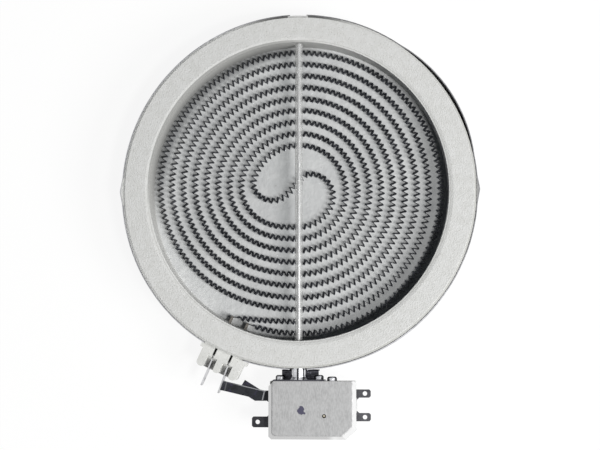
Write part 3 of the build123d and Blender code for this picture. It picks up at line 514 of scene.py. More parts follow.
# %% [markdown]
# ## Starting a finish
# Every finish starts with a principled shader and the object's own coordinates, and most end with a bump
# from a height and a roughness that follows the same grain. These lines would repeat in each material, so
# they are helpers too, and so are a colour laid over another and a value shaken by noise.

# %% Finish helpers
grain_low, grain_high = 0.3, 0.7


def new_finish(name, **constants):
    """Material with its tree, shader and Object coordinates; plain values go on the shader's sockets."""
    material = bpy.data.materials.new(name)
    material.use_nodes = True
    tree = material.node_tree
    shader = tree.nodes["Principled BSDF"]
    for label, value in constants.items():
        shader.inputs[label.replace("_", " ")].default_value = value
    return material, tree, shader, put(tree, "ShaderNodeTexCoord").outputs["Object"]


def paint(tree, shader, **sockets):
    """Links varying sockets to the shader's inputs."""
    for label, socket in sockets.items():
        tree.links.new(socket, shader.inputs[label.replace("_", " ")])


def relief(tree, shader, height, depth):
    """Bumps the surface by a height of 0 to 1 over a depth in metres."""
    bump = put(tree, "ShaderNodeBump", {"Height": height, "Distance": depth, "Strength": 1.0})
    tree.links.new(bump.outputs[0], shader.inputs["Normal"])


def grain_roughness(tree, height, dull, bright):
    """Roughness that follows a grain: dull where it is low, and bright where it is high."""
    return ramp(tree, height, grain_low, grain_high, dull, bright)


def lay_over(tree, mask, below, colour, weight):
    """Lays a screen colour over another colour where a mask is, at this weight."""
    return blend_colour(tree, math(tree, "MULTIPLY", mask, weight), below, shade(*colour))


def shaken(tree, value, noise, amount):
    """A value moved up or down by a noise of 0 to 1, by half the amount at most."""
    return math(tree, "MULTIPLY_ADD", math(tree, "SUBTRACT", noise, 0.5), amount, value)


print(f"roughness follows a grain from {grain_low} to {grain_high}")

# %% [markdown]
# ## Masks by place
# Painted shade, painted highlights, stains, seams and worn edges lie at set places on a piece. An image of
# them would have to be unwrapped onto the mesh, so each is a mask worked out from the coordinates: one of
# them alone, the distance from the burner's axis, or how far a point lies out in one direction. For a piece
# that lies askew, a Mapping node turns the coordinates first.

# %% Masks by place
# Side of the insulation that gets a painted shadow of the strip, on the opening's wall and the base's edge.
painted_shadow_side = (-0.71, 0.71, 0.0)
painted_shadow_start, painted_shadow_full = 0.040, 0.078
soft_core = 0.3


def coordinate(tree, where, axis):
    """One coordinate of a point: X, Y or Z."""
    return put(tree, "ShaderNodeSeparateXYZ", {0: where}).outputs[axis]


def from_axis(tree, where):
    """Distance from the burner's upright axis: the length of the coordinates without their height."""
    flat = vector_math(tree, "MULTIPLY", where, (1, 1, 0))["Vector"]
    return vector_math(tree, "LENGTH", flat)["Value"]


def out_towards(tree, where, direction):
    """How far a point lies out in one direction: the dot product of the two."""
    return vector_math(tree, "DOT_PRODUCT", where, direction)["Value"]


def turned_axes(tree, where, angle, start=(0, 0, 0)):
    """Coordinates along, across and up, in axes that start at a point and are turned about the upright."""
    inputs = {"Vector": where, "Location": start, "Rotation": (0, 0, angle)}
    turned = put(tree, "ShaderNodeMapping", inputs, vector_type="TEXTURE").outputs[0]
    return put(tree, "ShaderNodeSeparateXYZ", {0: turned}).outputs


def near(tree, value, middle, half_width):
    """Soft mask: 1 where a value is at the middle, down to 0 half a width away."""
    away = math(tree, "ABSOLUTE", math(tree, "SUBTRACT", value, middle))
    return step_down(tree, away, soft_core * half_width, half_width)


def band(tree, away, half_width, blur, weight):
    """Mask of this weight up to half a width away, with an edge blurred by a share of that half."""
    return ramp(tree, away, half_width * (1 - blur), half_width * (1 + blur), weight, 0.0)


def painted_shadow_part(tree, where):
    """Mask of the side of the insulation that gets the strip's painted shadow: a smooth step in one
    direction.
    """
    return ramp(tree, out_towards(tree, where, painted_shadow_side), painted_shadow_start, painted_shadow_full)


# Range of the strip's painted shadow across the insulation.
print(f"insulation stained from {painted_shadow_start:.3f} m to {painted_shadow_full:.3f} m out")

# %% [markdown]
# ## Pressed insulation
# The ring is pressed from coarse mineral flakes, so it is matt and pale grey with fine flecks of light and
# dark. The base is a finer powder: smoother, a little darker, with faint smears where it was handled. Both
# have almost no gloss, so only colour and relief are worked out. The wall of the opening and the edge of
# the base carry a painted shadow of the strip on one side, darkest at the wall's foot. The wall and the
# ring's outer rim are also painted paler where they turn from the lamps and darker where they face them,
# and the rim by the far notch is painted black: painted shade of the gap to the pan.

# %% Ring
press_line, press_half = 0.0892, 0.00035
wall_edge, rim_start, edge_blur = 0.0881, 0.1029, 0.0002
bevel_width = 0.0015
tone_weight = 0.85
# Direction towards the lamps: the wall and the outer rim are painted paler away from it and darker towards
# it.
lit_side = (0.84, -0.54, 0.0)
wall_lit, rim_lit = (-0.07, 0.0), (-0.09, 0.09)
# Heights over which the painted shadow darkens towards the wall's foot.
foot_low, foot_high = 0.020, 0.031
# Place of the painted shade of the gap to the pan, beside the far notch.
notch_side, notch_clear = 0.0056, 0.0062
fade_start, fade_end = 0.012, 0.040


def flaky_grey(tree, where, far):
    """Grey patches with dark and light flecks over them, and a pressed line round the opening."""
    body = tones(tree, where, (214, 214, 211), (222, 222, 220), size=0.004)["Color"]
    dark = fleck_mask(tree, where, size=0.0009, share=0.22)
    light = fleck_mask(tree, where, size=0.0012, share=0.18)
    speckled = lay_over(tree, dark, body, (186, 185, 179), weight=0.55)
    speckled = lay_over(tree, light, speckled, (234, 234, 232), weight=0.4)
    pressed = near(tree, far, press_line, press_half)
    return lay_over(tree, pressed, speckled, (176, 176, 172), weight=0.45)


def wall_tone(tree, where, lit):
    """Tone of the opening's wall, painted light and shade: paler where it turns from the lamps, dark under
    the strip's painted shadow, and darkest at its foot.
    """
    foot = step_down(tree, coordinate(tree, where, "Z"), foot_low, foot_high)
    dark = blend_colour(tree, foot, shade(160, 160, 157), shade(112, 112, 110))
    pale = blend_colour(tree, ramp(tree, lit, *wall_lit), shade(196, 196, 193), shade(238, 238, 235))
    return blend_colour(tree, painted_shadow_part(tree, where), pale, dark)


def notch_gap_shade(tree, where):
    """Mask of painted shade, black as the gap between the ring and the pan: beside the far notch, fading
    away from it.
    """
    away = math(tree, "ABSOLUTE", coordinate(tree, where, "X"))
    beside = ramp(tree, away, notch_side, notch_clear)
    fading = step_down(tree, away, fade_start, fade_end)
    far_end = math(tree, "GREATER_THAN", coordinate(tree, where, "Y"), 0.0)
    return math(tree, "MULTIPLY", math(tree, "MULTIPLY", beside, fading), far_end)


def ring_finish():
    """Flaky grey with one tone on the opening's wall and its bevel and another on the outer rim, which is
    painted paler where it turns from the lamps, darker where it faces them and black by the far notch:
    painted light and shade."""
    material, tree, shader, where = new_finish("pressed_flakes", Roughness=0.95, Specular_IOR_Level=0.15)
    far = from_axis(tree, where)
    lit = out_towards(tree, where, lit_side)
    # The strip's painted shadow also covers the bevel on its side.
    reach = math(tree, "MULTIPLY_ADD", painted_shadow_part(tree, where), -bevel_width, far)
    wall = ramp(tree, reach, wall_edge - edge_blur, wall_edge + edge_blur, tone_weight, 0.0)
    colour = blend_colour(tree, wall, flaky_grey(tree, where, far), wall_tone(tree, where, lit))
    rim = ramp(tree, far, rim_start - edge_blur, rim_start + edge_blur, to_high=tone_weight)
    # Painted light and shade on the outer rim: light away from the lamps, dark towards them.
    edge_tone = blend_colour(tree, ramp(tree, lit, *rim_lit), shade(246, 246, 243), shade(176, 176, 172))
    colour = blend_colour(tree, rim, colour, edge_tone)
    # Painted shade of the gap to the pan, laid on the rim by the far notch.
    colour = lay_over(tree, notch_gap_shade(tree, where), colour, (62, 61, 59), weight=rim)
    paint(tree, shader, Base_Color=colour)
    relief(tree, shader, grain_height(tree, where, size=0.0008), depth=0.0003)
    return material


ring_material = ring_finish()
print("ring:", ring_material.name)

# %% Base
# Radii over which the strip's painted shadow comes in at the base's edge.
edge_start, edge_full = 0.0796, 0.0832


def base_finish():
    """Matt powder: faint large smears, a few dark crumbs, a soft grain and the strip's painted shadow at its
    edge on one side.
    """
    material, tree, shader, where = new_finish("pressed_powder", Roughness=0.97, Specular_IOR_Level=0.1)
    body = tones(tree, where, (192, 193, 193), (208, 209, 208), size=0.03)["Color"]
    crumbs = fleck_mask(tree, where, size=0.0016, share=0.02)
    colour = lay_over(tree, crumbs, body, (140, 139, 132), weight=0.3)
    # The strip's painted shadow at the edge, on one side.
    edge = ramp(tree, from_axis(tree, where), edge_start, edge_full)
    colour = lay_over(tree, painted_shadow_part(tree, where), colour, (144, 145, 145), weight=edge)
    paint(tree, shader, Base_Color=colour)
    relief(tree, shader, grain_height(tree, where, size=0.0025), depth=0.0004)
    return material


base_material = base_finish()
print("base:", base_material.name)

# %% [markdown]
# ## Packing in the folds
# The pan's wall stands off from the ring in a V fold on each side. The photo shows no dark gap there, so
# each fold is packed with felt. A box would stick through the sheet, so the packing is a profile carried
# along the fold: its inner face follows the round ring and its outer face the two straight flanks of the
# V.

# %% Felt
def packing_finish():
    """Felt: soft patches and a fine fibrous grain along the wall, grey on the right, and paler on the left
    as painted light where the ring shades it.
    """
    material, tree, shader, where = new_finish("grey_felt", Roughness=0.95, Specular_IOR_Level=0.15)
    grey = tones(tree, where, (150, 150, 149), (178, 178, 176), size=0.003)["Color"]
    # Painted light: the left felt is paler where the ring shades it.
    pale = tones(tree, where, (204, 204, 202), (220, 220, 218), size=0.003)["Color"]
    right_side = math(tree, "GREATER_THAN", coordinate(tree, where, "X"), 0.0)
    paint(tree, shader, Base_Color=blend_colour(tree, right_side, pale, grey))
    relief(tree, shader, grain_height(tree, where, size=0.0006, stretch=along_y), depth=0.0002)
    return material


packing_material = packing_finish()
print("felt:", packing_material.name)

# %% Packing in the folds
ring_radius = 0.1041
fold_peak, fold_slope = 0.1056, 0.1874
fold_half, fold_points = 0.008, 41
fold_floor, fold_top = 0.0127, 0.0326
felt_gap = 0.0001


def fold_packing(name, side):
    """Felt wedge: along Y, from a circle of the ring's radius out to a line that falls from the V's peak."""
    along = np.linspace(fold_half, -fold_half, fold_points)
    inner = np.sqrt(ring_radius**2 - along**2) + felt_gap
    outer = fold_peak - fold_slope * np.abs(along) - felt_gap
    corners = [(inner, fold_floor), (outer, fold_floor), (outer, fold_top), (inner, fold_top)]
    grid = np.stack([
        np.column_stack((side * across, side * along, np.full(len(along), level)))
        for across, level in corners
    ], axis=1)
    piece = skin(name, grid)
    piece.data.materials.append(packing_material)
    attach(piece, "heater_frame")
    return piece


packings = [fold_packing("fold_packing_right", 1), fold_packing("fold_packing_left", -1)]
print("packing:", [(piece.name, len(piece.data.polygons)) for piece in packings])

# %% [markdown]
# ## Oxidised strip
# Resistance alloy turns dark blue-grey in its first hour of heat. Its skin is a thin oxide, so the metal
# below still gives a dull shine. Patches go from near black to slate, and the roughness follows the same
# patches.

# %% Oxidised strip
def strip_finish():
    """Dark oxide: slate patches over near black, rougher where it is darker."""
    material, tree, shader, where = new_finish("dark_oxide", Metallic=0.5, Specular_IOR_Level=0.25)
    oxide = tones(tree, where, (16, 17, 21), (76, 78, 86), size=0.006)
    roughness = blend_value(tree, oxide["Value"], 0.55, 0.40)
    paint(tree, shader, Base_Color=oxide["Color"], Roughness=roughness)
    relief(tree, shader, grain_height(tree, where, size=0.0006), depth=0.00005)
    return material


strip.data.materials.append(strip_finish())
print("strip:", strip.data.materials[0].name)

# %% [markdown]
# ## Ceramic
# The terminal block and the switch body are pressed steatite: cream-grey, matt, with a very fine grain and
# a few darker specks. A weak gloss keeps them apart from the insulation. The block is painted dark along
# its two slots and on the sloped floors of its pockets: painted shade in those recesses. In coordinates
# turned to the block these are plain bands, so the painted shade is a product of soft steps.

# %% Painted shade on the block
block_turn = np.radians(-90 - block_angle)
block_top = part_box("terminal_block")[1].z
# Painted shade in the slots and on the pocket floors: its widths, blurs and weights.
slot_half, slot_blur, slot_shade_weight = 0.0007, 0.2, 0.95
slot_fade, slot_stop = 0.0016, 0.0008
pocket_start, pocket_step = 0.110, 0.0006
pocket_half, pocket_blur, pocket_shade_weight = 0.0030, 0.05, 0.6
floor_deep, floor_shallow = 0.0030, 0.0010


def block_painted_shade(tree, where):
    """Mask of painted shade: narrow bands at both blades up to the pockets, and the pockets' floors beyond.
    """
    out, across, level = turned_axes(tree, where, block_turn)
    off_middle = math(tree, "ABSOLUTE", across)
    off_blade = math(tree, "ABSOLUTE", math(tree, "SUBTRACT", off_middle, blade_spacing / 2))
    slot = band(tree, off_blade, slot_half, slot_blur, slot_shade_weight)
    before = step_down(tree, out, pocket_start - slot_fade, pocket_start - slot_stop)
    floor = band(tree, off_blade, pocket_half, pocket_blur, pocket_shade_weight)
    low = step_down(tree, level, block_top - floor_deep, block_top - floor_shallow)
    beyond = ramp(tree, out, pocket_start, pocket_start + pocket_step)
    floor = math(tree, "MULTIPLY", math(tree, "MULTIPLY", floor, low), beyond)
    return math(tree, "MAXIMUM", math(tree, "MULTIPLY", slot, before), floor)


# Widths of the painted shade in the slots and in the pockets.
print(f"soot in slots {2 * slot_half:.4f} m wide and pockets {2 * pocket_half:.4f} m wide")

# %% Ceramic
def ceramic_finish(name, recess_shaded):
    """Pale matt ceramic: soft patches, small specks and a fine grain, with painted shade in the recesses
    where blades pass.
    """
    material, tree, shader, where = new_finish(name, Roughness=0.62, Specular_IOR_Level=0.4)
    body = tones(tree, where, (213, 213, 209), (224, 224, 221), size=0.008)["Color"]
    specks = fleck_mask(tree, where, size=0.0012, share=0.08)
    colour = lay_over(tree, specks, body, (178, 176, 168), weight=0.4)
    if recess_shaded:
        # Painted shade in the slots and on the pocket floors.
        colour = blend_colour(tree, block_painted_shade(tree, where), colour, shade(40, 40, 41))
    paint(tree, shader, Base_Color=colour)
    relief(tree, shader, grain_height(tree, where, size=0.0006), depth=0.00012)
    return material


ceramic_material = ceramic_finish("unglazed_ceramic", recess_shaded=False)
block_material = ceramic_finish("recess_shaded_ceramic", recess_shaded=True)
print("ceramic:", ceramic_material.name, block_material.name)

# %% [markdown]
# ## Sheet and wire metals
# The sheet metals differ in colour, in the direction of their grain and in how dull they are, but are made
# alike: rolled, then plated. So one function takes those values. The grain is drawn out along the rolling
# direction, and it varies the colour and the roughness as well as the relief. The rod is drawn wire, seen
# through the tube, and any relief on it would sparkle, so it has a smooth finish of its own.

# %% Sheet metals
streak_low, streak_high = 0.35, 0.65


def metal_finish(name, dark, light, stretch, grain_size, dull, bright, depth):
    """Plated metal: patches and drawn-out grain between two colours; the roughness follows the grain."""
    material, tree, shader, where = new_finish(name, Metallic=1.0)
    body = tones(tree, where, dark, light, size=0.007)["Color"]
    lines = grain_height(tree, where, grain_size, stretch)
    streak = ramp(tree, lines, streak_low, streak_high)
    paint(tree, shader, Base_Color=lay_over(tree, streak, body, light, weight=0.4),
          Roughness=blend_value(tree, streak, dull, bright))
    relief(tree, shader, lines, depth)
    return material


tab_material = metal_finish("dulled_tab", (58, 58, 61), (80, 80, 83), along_x,
                            grain_size=0.0004, dull=0.5, bright=0.36, depth=1e-5)
power_tab_material = metal_finish("darkened_tab", (40, 40, 43), (58, 58, 61), along_x,
                                  grain_size=0.0004, dull=0.5, bright=0.38, depth=1e-5)
bracket_material = metal_finish("dull_bracket", (50, 50, 55), (80, 80, 85), along_x,
                                grain_size=0.0005, dull=0.48, bright=0.34, depth=1e-5)
bright_material = metal_finish("bright_zinc", (176, 177, 180), (226, 227, 230), round_grain,
                               grain_size=0.0005, dull=0.3, bright=0.14, depth=1e-5)
silver_material = metal_finish("contact_silver", (196, 195, 190), (228, 227, 222), round_grain,
                               grain_size=0.0003, dull=0.4, bright=0.25, depth=8e-6)
brass_material = metal_finish("spring_brass", (168, 132, 66), (214, 178, 104), along_x,
                              grain_size=0.0004, dull=0.4, bright=0.22, depth=8e-6)
print("metals: tabs, bracket, zinc, silver, brass")

# %% Rod
# Painted shade on the rod's sides: where it starts, where it is full, and how strong.
rod_shade_start, rod_shade_end, rod_shade_weight = 0.00035, 0.0007, 0.7


def rod_finish():
    """Drawn wire: long streaks along it, and painted shade where its sides turn from the light, with no
    relief.
    """
    material, tree, shader, where = new_finish("drawn_rod", Metallic=0.3)
    lines = grain_height(tree, where, size=0.0004, stretch=drawn_along_y)
    streak = ramp(tree, lines, streak_low, streak_high)
    wire = blend_colour(tree, streak, shade(104, 104, 106), shade(134, 134, 135))
    side = math(tree, "ABSOLUTE", coordinate(tree, where, "X"))
    rod_side_shade = ramp(tree, side, rod_shade_start, rod_shade_end, to_high=rod_shade_weight)
    paint(tree, shader, Base_Color=blend_colour(tree, rod_side_shade, wire, shade(96, 96, 98)),
          Roughness=grain_roughness(tree, lines, dull=0.5, bright=0.38))
    return material


rod_material = rod_finish()
print("rod:", rod_material.name)

# %% [markdown]
# ## Pan
# The pan is aluminised sheet, drawn in one stroke, so its grain runs up the wall. Its upper edge is
# painted dark on the side away from the terminals: painted shade of a shadowed gap along the rim. Two
# smooth steps make that painted shade, one across the burner and one up the wall, and the second is
# shaken by patches so that it ends in an uneven line.

# %% Pan
# Painted shade along the pan's upper edge on one side: its direction, reach and heights.
rim_shade_side = (0.77, 0.64, 0.0)
rim_shade_start, rim_shade_end = 0.02, 0.07
rim_shade_low, rim_shade_high, rim_shade_shake = 0.0255, 0.0290, 0.004
rim_shade_below = 0.25


def pan_finish():
    """Aluminised sheet: bright patches under an upright grain, with painted shade along one side's upper
    edge.
    """
    material, tree, shader, where = new_finish("aluminised_pan", Metallic=1.0)
    rim_shade_tones = tones(tree, where, (100, 100, 102), (138, 138, 140), size=0.009)
    fresh = tones(tree, where, (146, 146, 149), (178, 178, 181), size=0.009)
    level = shaken(tree, coordinate(tree, where, "Z"), fresh["Value"], rim_shade_shake)
    upper = ramp(tree, level, rim_shade_low, rim_shade_high, to_low=rim_shade_below)
    sided = ramp(tree, out_towards(tree, where, rim_shade_side), rim_shade_start, rim_shade_end)
    # Painted shade: the upper edge on one side.
    pan_shade = math(tree, "MULTIPLY", upper, sided)
    lines = grain_height(tree, where, size=0.0008, stretch=along_z)
    paint(tree, shader, Base_Color=blend_colour(tree, pan_shade, fresh["Color"], rim_shade_tones["Color"]),
          Roughness=grain_roughness(tree, lines, dull=0.46, bright=0.32))
    relief(tree, shader, lines, depth=2e-5)
    return material


pan_material = pan_finish()
print("pan:", pan_material.name)

# %% [markdown]
# ## Screws and collar
# The screw heads lie on their sides towards the camera, bright on top and dark where they turn under:
# painted shade on the sides that turn from the light. The collar round the tube is rolled from a strip, so
# an open seam runs along it, and one edge shows as a thin line. The trim screw sits deep in its hole and is
# painted dark as painted shade of the hole, with a painted glint near the middle. Each mark follows a
# coordinate of its piece or the distance from its middle, so one mask serves for it.

# %% Screws and collar
# Depths below the top of a screw head where the painted shade under it is full and where it ends.
head_dark, head_bright = 0.0011, 0.0002
seam_x, seam_half = -0.0003, 0.0008
edge_x, edge_half = 0.0029, 0.0004


def zinc_finish(name):
    """Bright zinc with its tree, shader, coordinates and colour, for marks to be laid over it."""
    material, tree, shader, where = new_finish(name, Metallic=1.0)
    body = tones(tree, where, (176, 177, 180), (226, 227, 230), size=0.003)["Color"]
    height = grain_height(tree, where, size=0.0005)
    paint(tree, shader, Roughness=grain_roughness(tree, height, dull=0.32, bright=0.18))
    relief(tree, shader, height, depth=1e-5)
    return material, tree, shader, where, body


def screw_finish(name, node):
    """Zinc screw: bright along the top of its head, and dark below as painted shade where the head turns
    under.
    """
    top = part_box(node)[1].z
    material, tree, shader, where, zinc = zinc_finish(name)
    # Painted shade where the head turns under.
    under = step_down(tree, coordinate(tree, where, "Z"), top - head_dark, top - head_bright)
    paint(tree, shader, Base_Color=blend_colour(tree, under, zinc, shade(44, 44, 48)))
    return material


def collar_finish():
    """Zinc collar with a dark open seam and one thin edge line along the tube."""
    material, tree, shader, where, zinc = zinc_finish("rolled_collar")
    side = coordinate(tree, where, "X")
    marks = math(tree, "MAXIMUM", near(tree, side, seam_x, seam_half), near(tree, side, edge_x, edge_half))
    paint(tree, shader, Base_Color=blend_colour(tree, marks, zinc, shade(20, 20, 23)))
    return material


screw_material = screw_finish("bracket_screw_zinc", "bracket_screws")
adjuster_material = screw_finish("adjuster_zinc", "adjuster_screw")
collar_material = collar_finish()
print("marked zinc:", screw_material.name, adjuster_material.name, collar_material.name)

# %% Trim screw
trim_low, trim_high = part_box("trim_screw")
trim_centre = (trim_low + trim_high) / 2
# Painted glint near the middle of the trim screw: full within, gone by, and shaken by noise.
glint_full, glint_end, glint_shake = 0.0004, 0.0007, 0.0008


def trim_finish():
    """Brass screw painted dark as painted shade of its deep hole, with a light painted glint near the middle
    of its top.
    """
    material, tree, shader, where = new_finish("shaded_trim_glint", Metallic=0.6)
    shift = vector_math(tree, "SUBTRACT", where, trim_centre)["Vector"]
    noise = grain_height(tree, where, size=0.0009)
    far = shaken(tree, from_axis(tree, shift), noise, glint_shake)
    # Painted glint in the middle, painted shade of the hole around it.
    painted_zones = step_down(tree, far, glint_full, glint_end)
    paint(tree, shader, Base_Color=blend_colour(tree, painted_zones, shade(52, 49, 44), shade(206, 198, 178)),
          Roughness=blend_value(tree, painted_zones, 0.6, 0.3))
    relief(tree, shader, noise, depth=5e-5)
    return material


trim_material = trim_finish()
print("trim screw:", trim_material.name)

# %% [markdown]
# ## Terminal blades
# A blade is nickel-plated, but only its outer end still looks so. Where it is welded to the strip it has
# been glowing, and is brown-grey. In the ceramic slot it is painted black as painted shade of the slot,
# and where it leaves the slot a light spot is a painted glint. All these zones lie at set distances from
# the burner's axis, so that distance picks the colour and the shine.

# %% Terminal blades
slot_start, slot_end, zone_blur = 0.096, 0.1085, 0.0012
# Painted glint where the blade leaves the slot: its distance from the axis and half width.
glint_place, glint_half = 0.1107, 0.0018


def blade_finish():
    """Plated blade: brown-grey inside, painted shade in the slot, bright nickel beyond, and a painted glint
    between.
    """
    material, tree, shader, where = new_finish("nickel_blade")
    nickel = tones(tree, where, (168, 168, 170), (206, 206, 208), size=0.004)["Color"]
    burnt = tones(tree, where, (84, 80, 76), (128, 123, 116), size=0.003)["Color"]
    far = from_axis(tree, where)
    in_slot = ramp(tree, far, slot_start - zone_blur, slot_start + zone_blur)
    plated = ramp(tree, far, slot_end - zone_blur, slot_end + zone_blur)
    # Painted glint by the slot, and painted shade in the slot.
    painted_glint = near(tree, far, glint_place, glint_half)
    recess_shaded = blend_colour(tree, in_slot, burnt, shade(22, 22, 24))
    painted_zones = blend_colour(tree, plated, recess_shaded, nickel)
    paint(tree, shader, Base_Color=blend_colour(tree, painted_glint, painted_zones, shade(250, 250, 250)),
          Metallic=math(tree, "SUBTRACT", plated, math(tree, "MULTIPLY", painted_glint, plated)),
          Roughness=blend_value(tree, plated, 0.85, 0.3))
    relief(tree, shader, grain_height(tree, where, size=0.0004, stretch=along_x), depth=1e-5)
    return material


blade_material = blade_finish()
print("blades:", blade_material.name)

# %% [markdown]
# ## Switch cover
# The cover is a tray of tinned sheet. Its flat top has a soft mottle, drawn out towards the ring. Its
# sloped edges were rubbed bright in the press, and the one by the signal tabs is scuffed dull. An
# inspector's dab of violet ink lies near the middle: a small blot with an uneven edge and one loose drop.
# The blot is a distance from its centre, bent by noise.

# %% Ink
cover_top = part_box("limiter_cover")[1].z
blot_centre, blot_radius, blot_shake = (0.0017, -0.1282), 0.0020, 0.0034
drop_centre, drop_radius, drop_shake = (0.0036, -0.1300), 0.0006, 0.0006
blot_squeeze = (1.0, 0.85, 0.0)
blot_blur = 0.12


def blot(tree, where, centre, radius, amount):
    """Mask of a blot: 1 where the distance from its centre, shaken by noise, is under the radius."""
    shift = vector_math(tree, "SUBTRACT", where, (*centre, cover_top))["Vector"]
    flat = vector_math(tree, "MULTIPLY", shift, blot_squeeze)["Vector"]
    far = vector_math(tree, "LENGTH", flat)["Value"]
    noise = grain_height(tree, where, size=0.0018)
    return band(tree, shaken(tree, far, noise, amount), radius, blot_blur, weight=1.0)


def ink_mask(tree, where):
    """Mask of the ink: the blot and its drop."""
    return math(tree, "MAXIMUM", blot(tree, where, blot_centre, blot_radius, blot_shake),
                blot(tree, where, drop_centre, drop_radius, drop_shake))


print(f"ink blot of {2 * blot_radius:.4f} m")

# %% Switch cover
mottle_low, mottle_high, mottle_weight = 0.35, 0.7, 0.7
slope_deep, slope_shallow = 0.0005, 0.0001
scuff_start, scuff_end = 0.015, 0.024
flat_sheen, slope_sheen = 0.35, 1.0
rubbed_rough, scuffed_rough = 0.2, 0.85


def cover_finish():
    """Mottled tinned sheet, brighter on the slopes below the flat top, with the ink over it."""
    material, tree, shader, where = new_finish("tinned_cover")
    body = tones(tree, where, (152, 152, 152), (166, 166, 166), size=0.004)["Color"]
    lines = grain_height(tree, where, size=0.0007, stretch=along_y)
    mottle = ramp(tree, lines, mottle_low, mottle_high, to_high=mottle_weight)
    mottled = blend_colour(tree, mottle, body, shade(178, 178, 178))
    level = coordinate(tree, where, "Z")
    slope = step_down(tree, level, cover_top - slope_deep, cover_top - slope_shallow)
    edge_tone = blend_colour(tree, slope, mottled, shade(200, 200, 200))
    ink = ink_mask(tree, where)
    sheen = blend_value(tree, slope, flat_sheen, slope_sheen)
    sheen = math(tree, "MULTIPLY", sheen, math(tree, "SUBTRACT", 1.0, ink))
    flat_rough = grain_roughness(tree, lines, dull=0.58, bright=0.44)
    side = coordinate(tree, where, "X")
    slope_rough = ramp(tree, side, scuff_start, scuff_end, rubbed_rough, scuffed_rough)
    rough = put(tree, "ShaderNodeMix", {0: slope, 2: flat_rough, 3: slope_rough}).outputs[0]
    inked = lay_over(tree, ink, edge_tone, (36, 32, 66), weight=0.92)
    paint(tree, shader, Base_Color=inked, Roughness=rough, Metallic=sheen)
    relief(tree, shader, lines, depth=3e-5)
    return material


cover_material = cover_finish()
print("cover:", cover_material.name)

# %% [markdown]
# ## Blued link
# The link between the switch and the terminal block sits next to the heat, so its steel has turned
# blue-black with violet clouds. The clouds are one more layer of soft patches over the dark metal. Thin
# light lines along one edge and across both ends are painted highlights where the edges catch the light,
# coloured as bare metal: in coordinates turned to the strip, each line is a distance along it or across it.

# %% Painted highlights on the link
link_start, link_turn = (-0.0457, -0.1143, 0.0), np.radians(-13.1)
# Painted highlights on the link's edges: place, width, fade and weights.
link_edge, line_half = 0.0026, 0.0004
highlight_start, highlight_end = 0.006, 0.012
highlight_weak, highlight_strong = 0.2, 0.8
end_highlights, mark_half = {0.0022: 0.25, 0.0252: 0.9}, 0.0005


def edge_highlights(tree, where):
    """Mask of the strip's painted edge highlights: one along its edge, which fades out, and one across near
    each end.
    """
    along, across, _ = turned_axes(tree, where, link_turn, link_start)
    fading = ramp(tree, along, highlight_start, highlight_end, highlight_weak, highlight_strong)
    bare = math(tree, "MULTIPLY", near(tree, across, link_edge, line_half), fading)
    for place, weight in end_highlights.items():
        mark = math(tree, "MULTIPLY", near(tree, along, place, mark_half), weight)
        bare = math(tree, "MAXIMUM", bare, mark)
    return bare


# Count of the painted highlight lines on the link.
print(f"bare lines: one edge and {len(end_highlights)} marks across")

# %% Blued link
cloud_size = 0.009
cloud_low, cloud_high, cloud_weight = 0.6, 0.95, 0.6


def link_finish(name, marked):
    """Blue-black steel with violet heat clouds, a drawn-out grain and, on the strip, painted edge
    highlights.
    """
    material, tree, shader, where = new_finish(name, Metallic=0.7)
    body = tones(tree, where, (24, 25, 29), (40, 42, 46), size=0.005)["Color"]
    clouds = use_group(tree, patches, {"Vector": where, "Size": cloud_size})["Value"]
    violet = ramp(tree, clouds, cloud_low, cloud_high, to_high=cloud_weight)
    colour = blend_colour(tree, violet, body, shade(52, 46, 70))
    # Painted edge highlights, on the strip only.
    if marked:
        colour = blend_colour(tree, edge_highlights(tree, where), colour, shade(150, 151, 154))
    lines = grain_height(tree, where, size=0.0005, stretch=along_x)
    paint(tree, shader, Base_Color=colour, Roughness=grain_roughness(tree, lines, dull=0.52, bright=0.36))
    relief(tree, shader, lines, depth=1e-5)
    return material


link_material = link_finish("blued_strip", marked=True)
arm_material = link_finish("blued_arm", marked=False)
print("link:", link_material.name, arm_material.name)

# %% [markdown]
# ## Quartz
# The tube is fused quartz with a real wall and bore in the CAD model. In the photo it is so clear that the
# base and the strip show through it almost straight, and only a bright line of reflected lamp gives it
# away. Full refraction would turn its sides black here, so the body bends light only a little and a coat
# on top gives the reflections. Light on its way from a lamp to the base passes straight through, only
# dimmed.

# %% Quartz
# Painted shade: a faint dark line where the rod's edge shows dark through the glass.
rod_edge_line, rod_edge_half = -0.0006, 0.0006


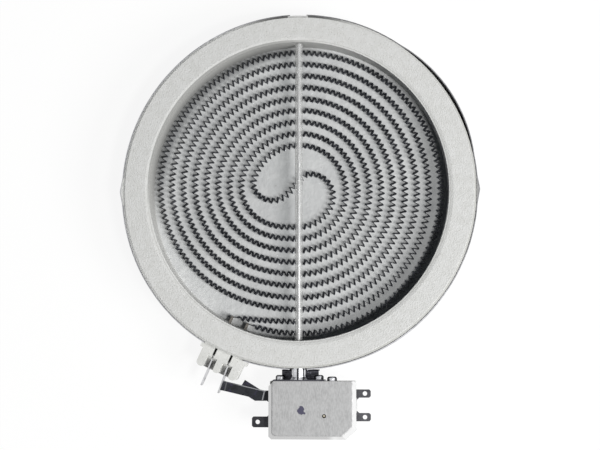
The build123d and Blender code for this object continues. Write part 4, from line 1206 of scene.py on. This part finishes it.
def quartz_finish():
    """Quartz: near clear, with a faint painted dark line where the rod's edge shows through."""
    material, tree, shader, where = new_finish(
        "clear_quartz", IOR=1.08, Transmission_Weight=0.85,
        Coat_Weight=1.0, Coat_IOR=1.6, Coat_Roughness=0.25)
    body = tones(tree, where, (232, 232, 231), (244, 244, 243), size=0.012)["Color"]
    rod_edge_shade = near(tree, coordinate(tree, where, "X"), rod_edge_line, rod_edge_half)
    lines = grain_height(tree, where, size=0.0008, stretch=drawn_along_y)
    paint(tree, shader, Base_Color=lay_over(tree, rod_edge_shade, body, (120, 120, 122), weight=0.1),
          Roughness=grain_roughness(tree, lines, dull=0.12, bright=0.05))
    path = put(tree, "ShaderNodeLightPath").outputs
    lighting = math(tree, "MAXIMUM", path["Is Shadow Ray"], path["Is Diffuse Ray"])
    clear = put(tree, "ShaderNodeBsdfTransparent", {"Color": shade(240, 241, 241)})
    mix_surface(tree, lighting, shader, clear)
    return material


quartz_material = quartz_finish()
print("quartz:", quartz_material.name)

# %% [markdown]
# ## Dressing the nodes
# Each node of the CAD model keeps its own mesh, and its one material slot gets the finish of that piece.
# The smooth band of the CAD model gets none, because the corrugated strip stands for it.

# %% Dress the nodes
finishes = {
    pan_material: ["pan"],
    base_material: ["insulation_base"],
    ring_material: ["insulation_ring"],
    ceramic_material: ["limiter_body", "push_pin"],
    block_material: ["terminal_block"],
    blade_material: ["terminal_blade_left", "terminal_blade_right"],
    quartz_material: ["quartz_tube"],
    rod_material: ["expansion_rod", "tube_cap"],
    bright_material: ["bracket_rivets", "power_pivot", "signal_pivot"],
    screw_material: ["bracket_screws"],
    adjuster_material: ["adjuster_screw"],
    collar_material: ["tube_ferrule"],
    trim_material: ["trim_screw"],
    bracket_material: ["limiter_bracket"],
    cover_material: ["limiter_cover"],
    tab_material: ["upper_signal_tab", "lower_signal_tab"],
    power_tab_material: ["power_tab"],
    link_material: ["link_strip"],
    arm_material: ["link_arm"],
    silver_material: ["power_contact_fixed", "power_contact_moving", "signal_contact_fixed",
                      "signal_contact_moving"],
    brass_material: ["power_arm", "signal_arm"],
}
for finish, dressed in finishes.items():
    for name in dressed:
        nodes[name].data.materials.clear()
        nodes[name].data.materials.append(finish)
bare = sorted(set(nodes) - {name for dressed in finishes.values() for name in dressed})
print("nodes without a finish of their own:", bare)

# %% [markdown]
